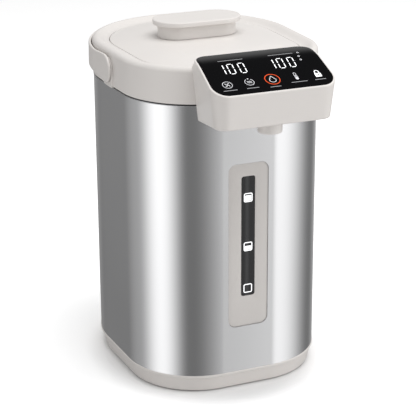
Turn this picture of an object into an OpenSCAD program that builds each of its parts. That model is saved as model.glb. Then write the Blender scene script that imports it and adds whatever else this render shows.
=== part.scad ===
// Electric thermo pot: a D-shaped steel body with a pump, a lift-off lid and a fold-back handle.
// Millimetres, +Z up, standing on its feet at z = 0. The spout looks towards -Y.

/* [Body] */
// Radius of the round back of the body
back_radius = 105; // [100:1:110]
// Distance from the centre of the round back to the flat front
front_reach = 139.6; // [132:0.2:146]
// Radius of the two front corners
corner_radius = 75.4; // [68:0.2:82]
// Half of the distance between the centres of the front corners
corner_spread = 27.6; // [22:0.2:34]
// Thickness of the steel sheet
steel_wall = 0.9; // [0.7:0.1:1.4]

/* [Heights] */
// Height of the feet under the base
foot_height = 1; // [0.8:0.1:2]
// Top of the base ring, where the steel shell starts
base_top = 19.8; // [16:0.2:30]
// Bottom of the collar, where the steel shell ends
collar_bottom = 306.8; // [290:0.2:320]
// Top face of the collar at the edge of the lid
collar_top = 340.5; // [335:0.5:350]
// Height of the collar's outer rim above the edge of the lid
rim_lift = 4.2; // [2:0.1:5]
// Deck of the collar, which carries the rim of the pot
deck_top = 322; // [318:1:326]
// Height of the lid's crown above the collar
lid_crown = 5.2; // [3:0.2:8]

/* [Head] */
// Half width of the head's front at its foot
head_half_low = 61.3; // [54:0.1:66]
// Half width of the head's sides at the front, carried up to the height of the panel's rear edge
head_half_high = 67.9; // [60:0.1:72]
// Narrowing of each side from the front to the panel's rear edge
head_taper = 6.7; // [0:0.1:10]
// Distance from the centre of the round back to the front of the head
head_reach = 206.4; // [198:0.2:214]
// How far the head's front draws in towards its foot
head_draft = 3.1; // [0:0.1:6]
// Distance from the centre of the round back to the head's highest edge, behind the panel
panel_rear_reach = 140; // [136:0.2:154]
// Height of the head's foot at the front
head_bottom = 299.2; // [294:0.1:306]
// How much lower the foot of each side lies where it meets the body
head_skirt = 6.5; // [0:0.1:9]
// Height of the panel's front edge
panel_front_z = 333; // [328:0.1:340]
// Slope of the panel, in degrees
panel_slope = 24.2; // [18:0.1:30]
// Length over which the panel becomes level towards its rear edge
panel_roll = 28.6; // [5:0.1:40]
// Radius of the head's front corners in plan, at the panel and at the foot
head_corner = 16.5; // [10:0.5:20]
head_corner_low = 13; // [8:0.5:20]
// Radius of the panel's rear corners
panel_corner = 12.3; // [4:0.1:18]
// Wall of the head and of the other mouldings
wall = 2.5; // [2:0.1:3]
// Outer radius of the spout nozzle
nozzle_radius = 11.9; // [10:0.1:13]
// Distance from the centre of the round back to the spout
nozzle_reach = 187; // [182:1:190]
// Lowest edge of the spout nozzle
nozzle_bottom = 289; // [284:1:294]

/* [Window] */
// Half width of the window frame
frame_half = 21.7; // [20:0.1:24]
// Lower edge of the window frame
frame_low = 69.3; // [60:0.1:80]
// Upper edge of the window frame
frame_high = 243.4; // [230:0.1:250]
// Half width of the sight window
sight_half = 7.5; // [6:0.1:9]
// Lower edge of the sight window
sight_low = 102; // [95:1:110]
// Upper edge of the sight window
sight_high = 229.8; // [220:0.1:232]

/* [Lid] */
// Inset of the lid's edge from the body's outline
lid_inset = 17; // [16:0.2:19]
// Gap round the lid
lid_gap = 0.5; // [0.4:0.1:1]
// Distance of the grip's centre in front of the pot's axis
grip_reach = 9; // [0:1:14]
// Half length of the grip's stem
stem_half_length = 42.3; // [38:0.1:43]
// Half depth of the grip's stem
stem_half_depth = 20.1; // [16:0.1:22]
// Overhang of the grip's top plate over its stem
grip_overhang = 5.1; // [4:0.1:7]
// Height of the grip's stem
stem_height = 13.7; // [10:0.1:18]
// Thickness of the grip's top plate
grip_plate = 5.2; // [4:0.1:7]

/* [Handle] */
// Distance of the handle's pivots in front of the pot's axis
pivot_reach = 28; // [24:1:32]
// Height of the handle's pivots
pivot_z = 325; // [322:1:328]
// Radius of the round ends of the handle
pad_radius = 14.5; // [13:0.1:15]
// Width of the handle's strap
strap_width = 24; // [20:1:26]
// Thickness of the handle's strap
strap_thick = 2.7; // [2.5:0.1:4]
// Gap between the collar and the strap
strap_gap = 1.1; // [1:0.1:3]
// Rise of the folded strap towards the back, in degrees
strap_tilt = 2.3; // [0:0.1:3]

/* [Pot and pump] */
// Outer radius of the inner pot
pot_radius = 84; // [80:0.5:85]
// Bottom of the inner pot
pot_bottom = 75; // [72:1:82]
// Distance of the pump's axis in front of the pot's axis
pump_reach = 62; // [58:1:64]
// Radius of the pump's housing
pump_radius = 21; // [19:0.5:23]
// Distance of the gauge tube in front of the pot's axis
gauge_reach = 131.2; // [130.8:0.1:131.6]
// Outer radius of the gauge tube
gauge_radius = 5; // [4.5:0.1:6]

/* [Hidden] */

cream = [0.80, 0.78, 0.75];
steel = [0.72, 0.72, 0.73];
black = [0.03, 0.03, 0.035];
dark = [0.12, 0.12, 0.13];
milky = [0.85, 0.85, 0.82];
natural = [0.88, 0.88, 0.86];
zinc = [0.45, 0.46, 0.48];
board_green = [0.06, 0.30, 0.16];

// A small overlap that joins two solids, and how far a cut passes beyond the face it opens
eps = 0.02;
past = 1;
// Radial play of a turning pin or shaft, and of a screw in its hole
pin_clear = 0.05;
screw_clear = 0.1;
// Facets of round solids, by size
round_fn = 64;
small_fn = 32;
pot_fn = 96;

// Points round the body's outline and on each rounded corner of a small outline
outline_points = 72;
corner_points = 7;

// The three circles whose common outline is the body's plan: [x, y, radius]
corner_y = -(front_reach - corner_radius);
plan_circles = [[0, 0, back_radius], [corner_spread, corner_y, corner_radius],
    [-corner_spread, corner_y, corner_radius]];

// Screws: [shank radius, head radius, head height, length]
post_screw = [2, 3.8, 1.6, 14];
head_screw = [1.5, 2.9, 1.1, 12];
lid_screw = [1.5, 2.9, 1, 8];
knob_screw = [1.5, 3.4, 1.5, 9];

// Collar
collar_outset = 0.8;
collar_fillet = 5;
collar_wall = 3;
// Fall of the rim towards the lid: [offset from the body's outline, share of the rim's lift]
rim_fall = [[-7, 0.86], [-10, 0.38], [-13, 0.1]];
deck_thick = 3.5;
// Opening in the collar's front through which the water pipe enters the head
port_half = 12;
port_low = 311;
port_high = 331;

// Lid
lid_wall = 2.4;
lid_edge_low = 326;
plateau_inset = 59;
lid_hole = 15;
lid_boss_radius = 4;
pan_radius = 80;
pan_depth = 10;
pan_floor = 2;
pan_pad_top = 318.5;
valve_y = 30;
// Thickness of the pan between a screw's head and the boss
screw_seat = 1.3;
// Screws of the lid: [x, y, height of the face where pan and boss meet]
lid_screw_places = [[62, -66, lid_edge_low], [-62, -66, lid_edge_low], [45, 45, pan_pad_top],
    [-45, 45, pan_pad_top]];
grip_base = collar_top + lid_crown;
grip_under = grip_base + stem_height;
grip_screw_x = 27;

// Level window: the frame's front lies a little behind the steel's face
frame_corner = 8;
frame_y = -front_reach + 0.8;
frame_flange = 3;
sight_corner = 2.5;

// Head
panel_grade = tan(panel_slope);
panel_rear_z = panel_front_z + panel_grade * (head_reach - panel_rear_reach - panel_roll / 2);
// Width of the rim round the panel
rim_front = 1.2;
rim_side = 1.8;
rim_rear = 0.6;
glass_thick = 2.2;
saddle_reach = 124.2;
saddle_draw = 8;
saddle_z = collar_top + 0.4;
saddle_steps = 6;
side_steps = 9;
arc_steps = 8;
head_floor = head_bottom + 0.8;
head_floor_top = head_bottom + 3.2;
head_post_x = 52;
head_post_y = -head_reach + 26;
nozzle_bore = 5;

// Handle and its pivots
collar_side = back_radius + collar_outset;
strap_in = collar_side + strap_gap;
strap_out = strap_in + strap_thick;
boss_face = strap_in - 0.3;
boss_radius = pad_radius - 2.5;
boss_root = back_radius - 8;
pin_radius = 4;
pin_end = strap_out - 1;
tongue_centre = 29;
tongue_half = 11;

// Pot
pot_wall = 0.8;
pot_corner = 1;
pot_rim = 87.2;
pot_rim_thick = 1.5;
rim_top = deck_top + pot_rim_thick;
mouth_radius = pot_radius + 0.4;
gasket_radius = pot_radius - pot_wall - 0.4;
jacket_thick = 6;
jacket_high = 220;
heater_radius = 44;
heater_thick = 4;
element_radius = 34;
element_rod = 3.5;

// Base
plate_inset = 8.5;
plate_low = foot_height;
plate_top = foot_height + 3.5;
foot_radius = 9;
foot_places = [[66, 58], [-66, 58], [68, -84], [-68, -84]];
post_places = [[0, 70], [62, -36], [-62, -36]];
post_radius = 5;

// Pump stack, from the base plate upwards
motor_radius = 17;
motor_low = plate_top + 3;
motor_top = 33;
housing_wall = 2.5;
housing_top = 50;
cover_top = 53;
impeller_low = 38;
impeller_top = 46;
shaft_radius = 1.6;

// Water way: hoses over pipes, the pipes' bores, and the levels of the runs
hose_radius = 6;
hose_bore = 4.5;
gauge_bore = 3.6;
outlet_bore = 3;
outlet_z = 42;
outlet_long = 12;
elbow_bend = 12;
hose_grip = 6;
gauge_low = outlet_z + elbow_bend + 1;
gauge_top = 300;
spout_z = 322;

// Power board: [low corner, size]
board_low = plate_top + 5;
board_thick = 1.6;
board_corner = [-44, 6];
board_size = [88, 52];
board_feet = [[-40, 10], [-40, 54], [40, 10], [40, 54]];
board_blocks = [[[-34, 14], [26, 22, 20]], [[0, 14], [18, 12, 15]], [[-2, 34], [14, 6, 12]],
    [[-32, 42], [30, 6, 9]]];
// Capacitors: [x, y, radius, height]
board_cans = [[26, 20, 6, 20], [26, 36, 5, 16]];

// Power inlet at the lower rear
inlet_half_width = 17;
inlet_half_height = 13;
inlet_wall = 4;
inlet_bezel = 3;
inlet_z = 44;
inlet_low = inlet_z - inlet_half_height;
inlet_high = inlet_z + inlet_half_height;
inlet_front_y = 84;
inlet_socket_y = inlet_front_y + 5;
inlet_face_y = back_radius + 1.6;
inlet_corner = 4;
contact_pitch = 7;
contact_size = [2, 13, 4];
earth_lift = 3;

// How far the folded strap reaches behind the pot's axis
strap_reach = (pivot_reach + strap_out) * cos(strap_tilt) + strap_width / 2 * sin(strap_tilt)
    - pivot_reach;
// Half of the whole depth stands in front of the origin and half behind it
shift_y = (head_reach - strap_reach) / 2;

/* Shared shapes */

module place() {
    translate([0, shift_y, 0]) children();
}

// How far a circle of the plan reaches in direction a
function reach(a, c) = c[0] * cos(a) + c[1] * sin(a) + c[2];
// The reach of the whole plan in direction a, and the circle that reaches it
function plan_reach(a) = max([for (c = plan_circles) reach(a, c)]);
function carrier(a) = [for (c = plan_circles) if (reach(a, c) > plan_reach(a) - eps / 100) c][0];
// The point of the body's outline, grown by off, whose outward direction is a
function plan_point(a, off) = let (c = carrier(a))
    [c[0] + (c[2] + off) * cos(a), c[1] + (c[2] + off) * sin(a)];
function outline_angle(i) = (i + 0.5) * 360 / outline_points;
function plan(off) = [for (i = [0:outline_points - 1]) plan_point(outline_angle(i), off)];
// How deep the point p lies inside the body's outline
function depth(p) = min([for (i = [0:outline_points - 1]) let (a = outline_angle(i))
    plan_reach(a) - p[0] * cos(a) - p[1] * sin(a)]);
// A row of points at one height: on the grown outline, or on a circle round [0, y]
function at(off, z) = [for (p = plan(off)) [p[0], p[1], z]];
function round_at(r, z, y = 0) = [for (i = [0:outline_points - 1])
    [r * cos(outline_angle(i)), y + r * sin(outline_angle(i)), z]];

// Side faces between neighbouring rows of n points, two triangles to a field
function skin_faces(n, pairs) = [for (pair = pairs, i = [0:n - 1])
    let (j = (i + 1) % n, low = pair[0] * n, high = pair[1] * n)
    each [[low + i, high + i, high + j], [low + i, high + j, low + j]]];

// A ring whose section is the closed loop of rows
module ring_skin(rows) {
    n = len(rows[0]);
    m = len(rows);
    polyhedron(points = [for (row = rows) each row],
        faces = skin_faces(n, [for (k = [0:m - 1]) [k, (k + 1) % m]]));
}

// A solid between its first and last row, each closed with strips across the width
module solid_skin(rows) {
    n = len(rows[0]);
    m = len(rows);
    strips = [for (i = [0:n / 2 - 2]) let (j = n - 1 - i) each [[i, i + 1, j], [i + 1, j - 1, j]]];
    first_cap = [for (s = strips) if (s[0] != s[1] && s[1] != s[2]) s];
    last_cap = [for (s = first_cap) [s[2], s[1], s[0]] + [1, 1, 1] * (m - 1) * n];
    sides = skin_faces(n, [for (k = [0:m - 2]) [k, k + 1]]);
    polyhedron(points = [for (row = rows) each row], faces = concat(sides, first_cap, last_cap));
}

// The body's outline, grown by off, as an upright prism
module plan_prism(off, low, high) {
    translate([0, 0, low]) linear_extrude(high - low) polygon(plan(off));
}

// An upright round rod, or the cutter of an upright hole, between two heights
module rod(r, low, high, fn = round_fn) {
    translate([0, 0, low]) cylinder(r = r, h = high - low, $fn = fn);
}

// A level round rod that runs forward from the origin
module forward_rod(r, long, fn = round_fn) {
    rotate([90, 0, 0]) cylinder(r = r, h = long, $fn = fn);
}

// A screw that points up and stands on its head
module screw(size) {
    cylinder(r = size[1], h = size[2], $fn = small_fn);
    cylinder(r = size[0], h = size[3], $fn = small_fn);
}

module stadium(half_length, half_depth, high) {
    flat = half_length - half_depth;
    translate([-flat, -half_depth, 0]) cube([2 * flat, 2 * half_depth, high]);
    for (side = [-1, 1]) translate([side * flat, 0, 0]) cylinder(r = half_depth, h = high, $fn = round_fn);
}

// Points of a symmetric four-sided outline with round corners, from v = low to v = high
function corner_arc(x, y, r, from) = [for (k = [0:corner_points]) let (a = from + 90 * k / corner_points)
    [x + r * cos(a), y + r * sin(a)]];
function rounded_quad(half_low, half_high, low, high, r_low, r_high) = concat(
    corner_arc(half_high - r_high, high - r_high, r_high, 0),
    corner_arc(-half_high + r_high, high - r_high, r_high, 90),
    corner_arc(-half_low + r_low, low + r_low, r_low, 180),
    corner_arc(half_low - r_low, low + r_low, r_low, 270));

// A plate in the X-Z plane with round corners, from y to y + thick
module upright_plate(half_width, low, high, corner, y, thick) {
    translate([0, y + thick, 0]) rotate([90, 0, 0]) linear_extrude(thick)
        polygon(rounded_quad(half_width, half_width, low, high, corner, corner));
}

/* Base */

module base_ring() {
    taper = 4.7;
    lip = 0.4;
    ledge = steel_wall + 2;
    outside = [at(-taper, foot_height), at(-taper + 0.9, foot_height + 1), at(-0.9, base_top - 3),
        at(lip, base_top - 1.6), at(lip, base_top - 0.4), at(0, base_top)];
    inside = [at(-ledge, base_top), at(-plate_inset + 3, foot_height + 6),
        at(-plate_inset, foot_height + 5), at(-plate_inset, foot_height)];
    color(cream) place() ring_skin(concat(outside, inside));
}

module base_plate() {
    vent = [28, 3];
    vent_pitch = 7;
    vent_y = 20;
    color(dark) place() difference() {
        union() {
            plan_prism(-plate_inset - 0.1, plate_low, plate_top);
            translate([0, -pump_reach, 0]) rod(motor_radius + 2, plate_top - eps, motor_low);
        }
        for (p = post_places) translate([p[0], p[1], 0]) {
            rod(post_screw[0] + screw_clear, plate_low - past, plate_top + past, small_fn);
            rod(post_screw[1] + 2 * screw_clear, plate_low - past, plate_low + post_screw[2] + screw_clear,
                small_fn);
        }
        for (k = [-2:2]) translate([-vent[0] / 2, vent_y + vent_pitch * k, plate_low - past])
            cube([vent[0], vent[1], plate_top]);
    }
}

module feet() {
    color(dark) place() for (p = foot_places) translate([p[0], p[1], 0]) rod(foot_radius, 0, foot_height);
}

module post_screws() {
    color(steel) place() for (p = post_places) translate([p[0], p[1], plate_low]) screw(post_screw);
}

module pot_posts() {
    color(steel) place() for (p = post_places) translate([p[0], p[1], 0]) difference() {
        rod(post_radius, plate_top, pot_bottom, small_fn);
        rod(post_screw[0] + screw_clear, plate_top - past, plate_low + post_screw[3] + past, small_fn);
    }
}

/* Shell and collar */

module outer_shell() {
    gap = 0.3;
    color(steel) place() difference() {
        ring_skin([at(0, base_top), at(0, collar_bottom), at(-steel_wall, collar_bottom),
            at(-steel_wall, base_top)]);
        upright_plate(frame_half, frame_low, frame_high, frame_corner, -front_reach - 5 * past, 12 * past);
        upright_plate(inlet_half_width + gap, inlet_low - gap, inlet_high + gap, inlet_corner,
            inlet_front_y, inlet_face_y - inlet_front_y + past);
    }
}

// Boss that stands out of the collar under one end of the handle, with a tongue below it
module hinge_boss(side) {
    tongue_root = back_radius - 2;
    tongue_face = boss_face - 0.8;
    mirror([side < 0 ? 1 : 0, 0, 0]) {
        translate([boss_root, -pivot_reach, pivot_z]) rotate([0, 90, 0])
            cylinder(r = boss_radius, h = boss_face - boss_root, $fn = round_fn);
        translate([tongue_root, -tongue_centre - tongue_half, collar_bottom])
            cube([tongue_face - tongue_root, 2 * tongue_half, pivot_z - collar_bottom]);
    }
}

// Rows over the collar's rim, from its upright side down to the lid's edge, grown by off
function rim_rows(off) = let (f = collar_fillet, low = collar_top + rim_lift - f)
    concat([for (a = [0:22.5:90]) at(collar_outset - f + (f + off) * cos(a), low + (f + off) * sin(a))],
        [for (p = rim_fall) at(p[0], collar_top + rim_lift * p[1] + off)],
        [at(-lid_inset, collar_top + off)]);

module collar() {
    inner = -lid_inset;
    well_out = inner + wall;
    skin_in = -collar_wall + 1;
    under = collar_top + rim_lift - collar_wall;
    mouth = [at(inner, deck_top), round_at(mouth_radius, deck_top),
        round_at(mouth_radius, deck_top - deck_thick), at(well_out, deck_top - deck_thick)];
    underside = [at(well_out, collar_top - collar_wall), at(skin_in - 4, under), at(skin_in, under - 4),
        at(skin_in, collar_bottom)];
    color(cream) place() difference() {
        union() {
            ring_skin(concat([at(collar_outset, collar_bottom)], rim_rows(0), mouth, underside));
            for (side = [-1, 1]) hinge_boss(side);
        }
        for (side = [-1, 1]) translate([side * (boss_root - 5 * past), -pivot_reach, pivot_z])
            rotate([0, side * 90, 0])
            cylinder(r = pin_radius + pin_clear, h = 2 * boss_radius, $fn = round_fn);
        translate([-port_half, -front_reach - 5 * past, port_low])
            cube([2 * port_half, 12, port_high - port_low]);
    }
}

/* Head */

// Height of the head's top at depth y: the panel, which becomes level towards its rear edge, then a saddle
// down to the collar
function saddle_fall(y) = (1 + cos(180 * (y + panel_rear_reach) / (panel_rear_reach - saddle_reach))) / 2;
function panel_bend(y) = pow(max(0, y + panel_rear_reach + panel_roll), 2) / (2 * panel_roll);
function head_top(y) = y < -panel_rear_reach
    ? panel_front_z + panel_grade * (y + head_reach - panel_bend(y))
    : saddle_z + (panel_rear_z - saddle_z) * saddle_fall(y);
// Height of the head's foot at depth y
function head_foot(y) = head_bottom
    - head_skirt * max(0, y + head_reach - head_corner) / (head_reach - head_corner - front_reach);
// Half width of the head at depth y and height z
function head_wide(y, z) = head_half_low
    + (head_half_high - head_half_low) * (z - head_bottom) / (panel_rear_z - head_bottom)
    - head_taper * (y + head_reach) / (head_reach - panel_rear_reach);
// A rounded corner of the head's plan, as [distance inside the side's plane, y], from the end to the side
function front_corner(r, y) = [for (k = [0:arc_steps]) let (a = 90 * k / arc_steps)
    [r - r * sin(a), y + r - r * cos(a)]];
// Half of the head's plan, drawn in by inset; share is 0 at the foot and 1 at the panel's front edge
function head_half(share, inset) = let (
    r = head_corner_low + (head_corner - head_corner_low) * share - inset,
    front = -head_reach + head_draft * (1 - share) + inset,
    side_run = -panel_rear_reach - front - r,
    saddle_run = panel_rear_reach - saddle_reach - inset)
    concat(front_corner(r, front),
        [for (k = [1:side_steps]) [0, front + r + side_run * k / side_steps]],
        [for (k = [1:saddle_steps])
            [saddle_draw * k / saddle_steps, -panel_rear_reach + saddle_run * k / saddle_steps]]);
// Half of the panel's plan, drawn in by inset from the rim
function panel_half(inset) = let (
    front = -head_reach + rim_front + inset,
    r = head_corner - rim_front - inset,
    rear = -panel_rear_reach - rim_rear - inset,
    run = rear - panel_corner - front - r)
    concat(front_corner(r, front),
        [for (k = [1:side_steps]) [0, front + r + run * k / (side_steps + 1)]],
        [for (p = front_corner(panel_corner, 0)) [panel_corner - p[0], rear - panel_corner + p[1]]]);
// Both halves: a loop round the right side, the front and the left side
function mirrored(half) = concat(half,
    [for (i = [len(half) - 1:-1:0]) [-half[i][0], half[i][1], half[i][2]]]);
// Rows round the head: drop below its foot, drop below its top, and at one level
function foot_row(inset, drop) = mirrored([for (h = head_half(0, inset)) let (z = head_foot(h[1]) - drop)
    [head_wide(h[1], z) - inset - h[0], h[1], z]]);
function top_row(inset, drop) = mirrored([for (h = head_half(1, inset)) let (z = head_top(h[1]) - drop)
    [head_wide(h[1], z) - inset - h[0], h[1], z]]);
function level_row(inset, z) = let (share = (z - head_bottom) / (panel_front_z - head_bottom))
    mirrored([for (h = head_half(share, inset)) [head_wide(h[1], z) - inset - h[0], h[1], z]]);
// A row round the panel, drop below the head's top
function panel_row(inset, drop) = mirrored([for (h = panel_half(inset)) let (z = head_top(h[1]))
    [head_wide(h[1], z) - rim_side - inset - h[0], h[1], z - drop]]);

// Children lie in the plane of the panel's slope: x across, y up the slope from its front edge, z out of it
module on_panel() {
    translate([0, -head_reach, panel_front_z]) rotate([panel_slope, 0, 0]) children();
}

module head_housing() {
    gap = 0.05;
    opening = 20;
    ledge = 3;
    post_long = 20;
    post_radius = 5.6;
    hole_long = 15;
    cut_low = head_foot(-saddle_reach) - past;
    color(cream) place() {
        difference() {
            solid_skin([foot_row(0, 0), top_row(0, 0)]);
            solid_skin([foot_row(wall, past), top_row(wall, 2 * wall)]);
            solid_skin([panel_row(-2 * gap, glass_thick), panel_row(-2 * gap, -opening)]);
            solid_skin([panel_row(ledge, opening), panel_row(ledge, -opening)]);
            solid_skin(concat([at(collar_outset + gap, cut_low)], rim_rows(gap)));
        }
        for (side = [-1, 1]) translate([side * head_post_x, head_post_y, head_floor_top + 0.1])
            difference() {
                rod(post_radius, 0, post_long);
                rod(head_screw[0] + screw_clear, -past, hole_long, small_fn);
            }
    }
}

module head_underside() {
    gap = 0.15;
    socket_wall = 1.2;
    socket_high = 4;
    well = 1.4;
    color(cream) place() difference() {
        union() {
            solid_skin([level_row(wall + gap, head_floor), level_row(wall + gap, head_floor_top)]);
            translate([0, -nozzle_reach, 0])
                rod(nozzle_radius + socket_wall, head_floor_top - eps, head_floor_top + socket_high);
        }
        translate([0, -nozzle_reach, 0]) rod(nozzle_radius + 0.1, head_floor - past, spout_z);
        for (side = [-1, 1]) translate([side * head_post_x, head_post_y, 0]) {
            rod(head_screw[0] + screw_clear, head_floor - past, spout_z, small_fn);
            rod(head_screw[1] + 0.3, head_floor - past, head_floor + well, small_fn);
        }
        plan_prism(collar_outset + 0.05, head_floor - past, collar_top);
    }
}

module head_screws() {
    color(steel) place() for (side = [-1, 1]) translate([side * head_post_x, head_post_y, head_floor + 0.3])
        screw(head_screw);
}

module control_panel() {
    color(black) place() solid_skin([panel_row(0, glass_thick - eps), panel_row(0, 0)]);
}

module display_board() {
    top = -glass_thick - 2.6;
    board = [96, 46, board_thick];
    digits = [32, 18, 1.8];
    key_radius = 5;
    key_pitch = 20;
    color(board_green) place() on_panel() {
        translate([-board[0] / 2, 8, top - board_thick]) cube(board);
        for (side = [-1, 1]) translate([side * 26 - digits[0] / 2, 26, top - eps]) cube(digits);
        for (k = [-2:2]) translate([k * key_pitch, 15, 0])
            rod(key_radius, top - eps, -glass_thick - 0.2, small_fn);
    }
}

/* Level window */

// The frame fills the cut-out of the shell, a little behind its face, and grips it from inside
module window_frame() {
    gap = 0.1;
    f = frame_flange;
    color(cream) place() difference() {
        union() {
            upright_plate(frame_half - gap, frame_low + gap, frame_high - gap, frame_corner - gap,
                frame_y, 1.3);
            upright_plate(frame_half + f, frame_low - f, frame_high + f, frame_corner + f,
                -front_reach + steel_wall + 2 * gap, 1.1);
        }
        upright_plate(sight_half, sight_low, sight_high, sight_corner, -front_reach - 5 * past, 12 * past);
    }
}

module sight_window() {
    gap = 0.05;
    color(black) place() upright_plate(sight_half - gap, sight_low + gap, sight_high - gap,
        sight_corner - gap, frame_y + 0.2, 1.6);
}

/* Lid */

// Height of the lid's top where the outline is drawn in by inset
function crown(inset) = collar_top
    + lid_crown * sin(90 * min(1, (inset - lid_inset) / (plateau_inset - lid_inset)));

module lid_cover() {
    edge = lid_inset + lid_gap;
    steps = [edge + 1.6, edge + 8, edge + 18, edge + 29, plateau_inset];
    outside = concat([at(-edge, lid_edge_low), at(-edge, collar_top - 1.2)],
        [at(-edge - 0.5, collar_top - 0.3)], [for (s = steps) at(-s, crown(s))]);
    hole = [round_at(lid_hole, grip_base, -grip_reach),
        round_at(lid_hole, grip_base - lid_wall, -grip_reach)];
    inside = concat([for (k = [4:-1:1]) at(-steps[k], crown(steps[k]) - lid_wall)],
        [at(-edge - lid_wall, collar_top - lid_wall), at(-edge - lid_wall, lid_edge_low)]);
    color(cream) place() difference() {
        union() {
            ring_skin(concat(outside, hole, inside));
            for (p = lid_screw_places) translate([p[0], p[1], 0])
                rod(lid_boss_radius, p[2], crown(depth(p)) - lid_wall / 2, small_fn);
        }
        for (p = lid_screw_places) translate([p[0], p[1], 0])
            rod(lid_screw[0] + screw_clear, p[2] - past, p[2] + lid_screw[3], small_fn);
        for (side = [-1, 1]) translate([side * grip_screw_x, -grip_reach, 0])
            rod(knob_screw[0] + 0.6, grip_base - lid_wall - past, grip_base + past, small_fn);
    }
}

module lid_pan() {
    edge = lid_inset + lid_gap + lid_wall + 0.1;
    cup_low = rim_top - pan_depth;
    pad_radius = lid_screw[1] + 2.4;
    color(milky) place() difference() {
        union() {
            difference() {
                union() {
                    plan_prism(-edge, rim_top, lid_edge_low);
                    rod(pan_radius, cup_low, rim_top + eps, pot_fn);
                }
                rod(pan_radius - pan_floor, cup_low + pan_floor, lid_edge_low + past, pot_fn);
            }
            for (p = lid_screw_places) if (p[2] == pan_pad_top) translate([p[0], p[1], 0])
                rod(pad_radius, cup_low, pan_pad_top, small_fn);
        }
        translate([0, valve_y, 0]) rod(7, cup_low - past, lid_edge_low);
        for (p = lid_screw_places) translate([p[0], p[1], 0]) {
            rod(lid_screw[0] + screw_clear, cup_low - past, p[2] + past, small_fn);
            rod(lid_screw[1] + 0.3, cup_low - past, p[2] - screw_seat, small_fn);
        }
    }
}

module lid_gasket() {
    lip = 1;
    lips = [-8, -6.5, -5, -3.5, -2];
    color([0.75, 0.76, 0.76]) place() rotate_extrude($fn = pot_fn)
        polygon(concat([[pan_radius, rim_top + lips[0]]],
            [for (k = [0:4]) [gasket_radius - (k % 2 == 0 ? lip : 0), rim_top + lips[k]]],
            [[pan_radius, rim_top + lips[4]]]));
}

module lid_screws() {
    color(steel) place() for (p = lid_screw_places)
        translate([p[0], p[1], p[2] - screw_seat - screw_clear - lid_screw[2]]) screw(lid_screw);
}

module steam_valve() {
    low = rim_top - pan_depth;
    color([0.55, 0.56, 0.58]) place() translate([0, valve_y, 0]) difference() {
        union() {
            rod(6.9, low, low + 6);
            rod(9, low + pan_floor, low + pan_floor + 2);
        }
        rod(3, low - past, low + pan_depth, small_fn);
    }
}

module knob_stem() {
    floor_thick = 3;
    slot = [2, 10, 4];
    slot_pitch = 5;
    color(cream) place() translate([0, -grip_reach, grip_base]) difference() {
        stadium(stem_half_length, stem_half_depth, stem_height);
        translate([0, 0, floor_thick])
            stadium(stem_half_length - wall, stem_half_depth - wall, stem_height);
        for (side = [-1, 1]) translate([side * grip_screw_x, 0, 0])
            rod(knob_screw[0] + screw_clear, -past, floor_thick + past, small_fn);
        for (k = [-2:2]) translate([k * slot_pitch, stem_half_depth, 2 * floor_thick])
            translate([-slot[0] / 2, -slot[1] / 2, 0]) cube(slot);
    }
}

module knob_plate() {
    edge = 1.3;
    color(cream) place() translate([0, -grip_reach, grip_under]) {
        half_length = stem_half_length + grip_overhang;
        half_depth = stem_half_depth + grip_overhang;
        stadium(half_length - edge, half_depth - edge, grip_plate);
        translate([0, 0, edge]) stadium(half_length, half_depth, grip_plate - 2 * edge);
    }
}

module knob_screws() {
    color(steel) place() for (side = [-1, 1])
        translate([side * grip_screw_x, -grip_reach, grip_base - lid_wall - knob_screw[2]])
            screw(knob_screw);
}

/* Handle */

// Plan of the strap: straight beside the pivots, then round the back of the collar
function strap_line(r) = concat([[r, -pivot_reach]], [for (k = [0:36]) [r * cos(5 * k), r * sin(5 * k)]],
    [[-r, -pivot_reach]]);

module handle() {
    inner = strap_line(strap_in);
    color(cream) place() difference() {
        union() {
            translate([0, -pivot_reach, pivot_z]) rotate([strap_tilt, 0, 0])
                translate([0, pivot_reach, -strap_width / 2]) linear_extrude(strap_width)
                polygon(concat(strap_line(strap_out), [for (i = [len(inner) - 1:-1:0]) inner[i]]));
            for (side = [-1, 1]) translate([side * strap_in, -pivot_reach, pivot_z])
                rotate([0, side * 90, 0]) cylinder(r = pad_radius, h = strap_thick + 0.2, $fn = round_fn);
        }
        for (side = [-1, 1]) translate([side * (strap_in - past), -pivot_reach, pivot_z])
            rotate([0, side * 90, 0])
            cylinder(r = pin_radius + pin_clear, h = pin_end - strap_in + past + 0.2, $fn = round_fn);
    }
}

module hinge_pin(side) {
    head_radius = 6.5;
    head_thick = 2;
    color(steel) place() translate([0, -pivot_reach, pivot_z]) rotate([0, side * 90, 0]) {
        rod(pin_radius, boss_root - 1, pin_end);
        rod(head_radius, boss_root - head_thick, boss_root);
    }
}

/* Pot and heater */

module inner_pot() {
    r = pot_radius;
    w = pot_wall;
    c = pot_corner;
    color(steel) place() difference() {
        rotate_extrude($fn = pot_fn) polygon([[0, pot_bottom], [r - c, pot_bottom], [r, pot_bottom + c],
            [r, deck_top], [pot_rim, deck_top], [pot_rim, rim_top], [r - w, rim_top],
            [r - w, pot_bottom + c + w / 3], [r - c - w / 3, pot_bottom + w], [0, pot_bottom + w]]);
        translate([0, -pump_reach, 0]) rod(hose_bore, pot_bottom - past, pot_bottom + w + past);
    }
}

module pot_seal() {
    size = [3.4, 2];
    color(milky) place() rotate_extrude($fn = pot_fn)
        translate([pot_radius + 0.1, deck_top - deck_thick - size[1]]) square(size);
}

module insulation_jacket() {
    color([0.85, 0.80, 0.68]) place() rotate_extrude($fn = pot_fn)
        translate([pot_radius + 0.5, pot_bottom + pot_corner + 3]) square([jacket_thick, jacket_high]);
}

module heater_plate() {
    color([0.70, 0.71, 0.72]) place() rod(heater_radius, pot_bottom - heater_thick, pot_bottom, pot_fn);
}

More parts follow.
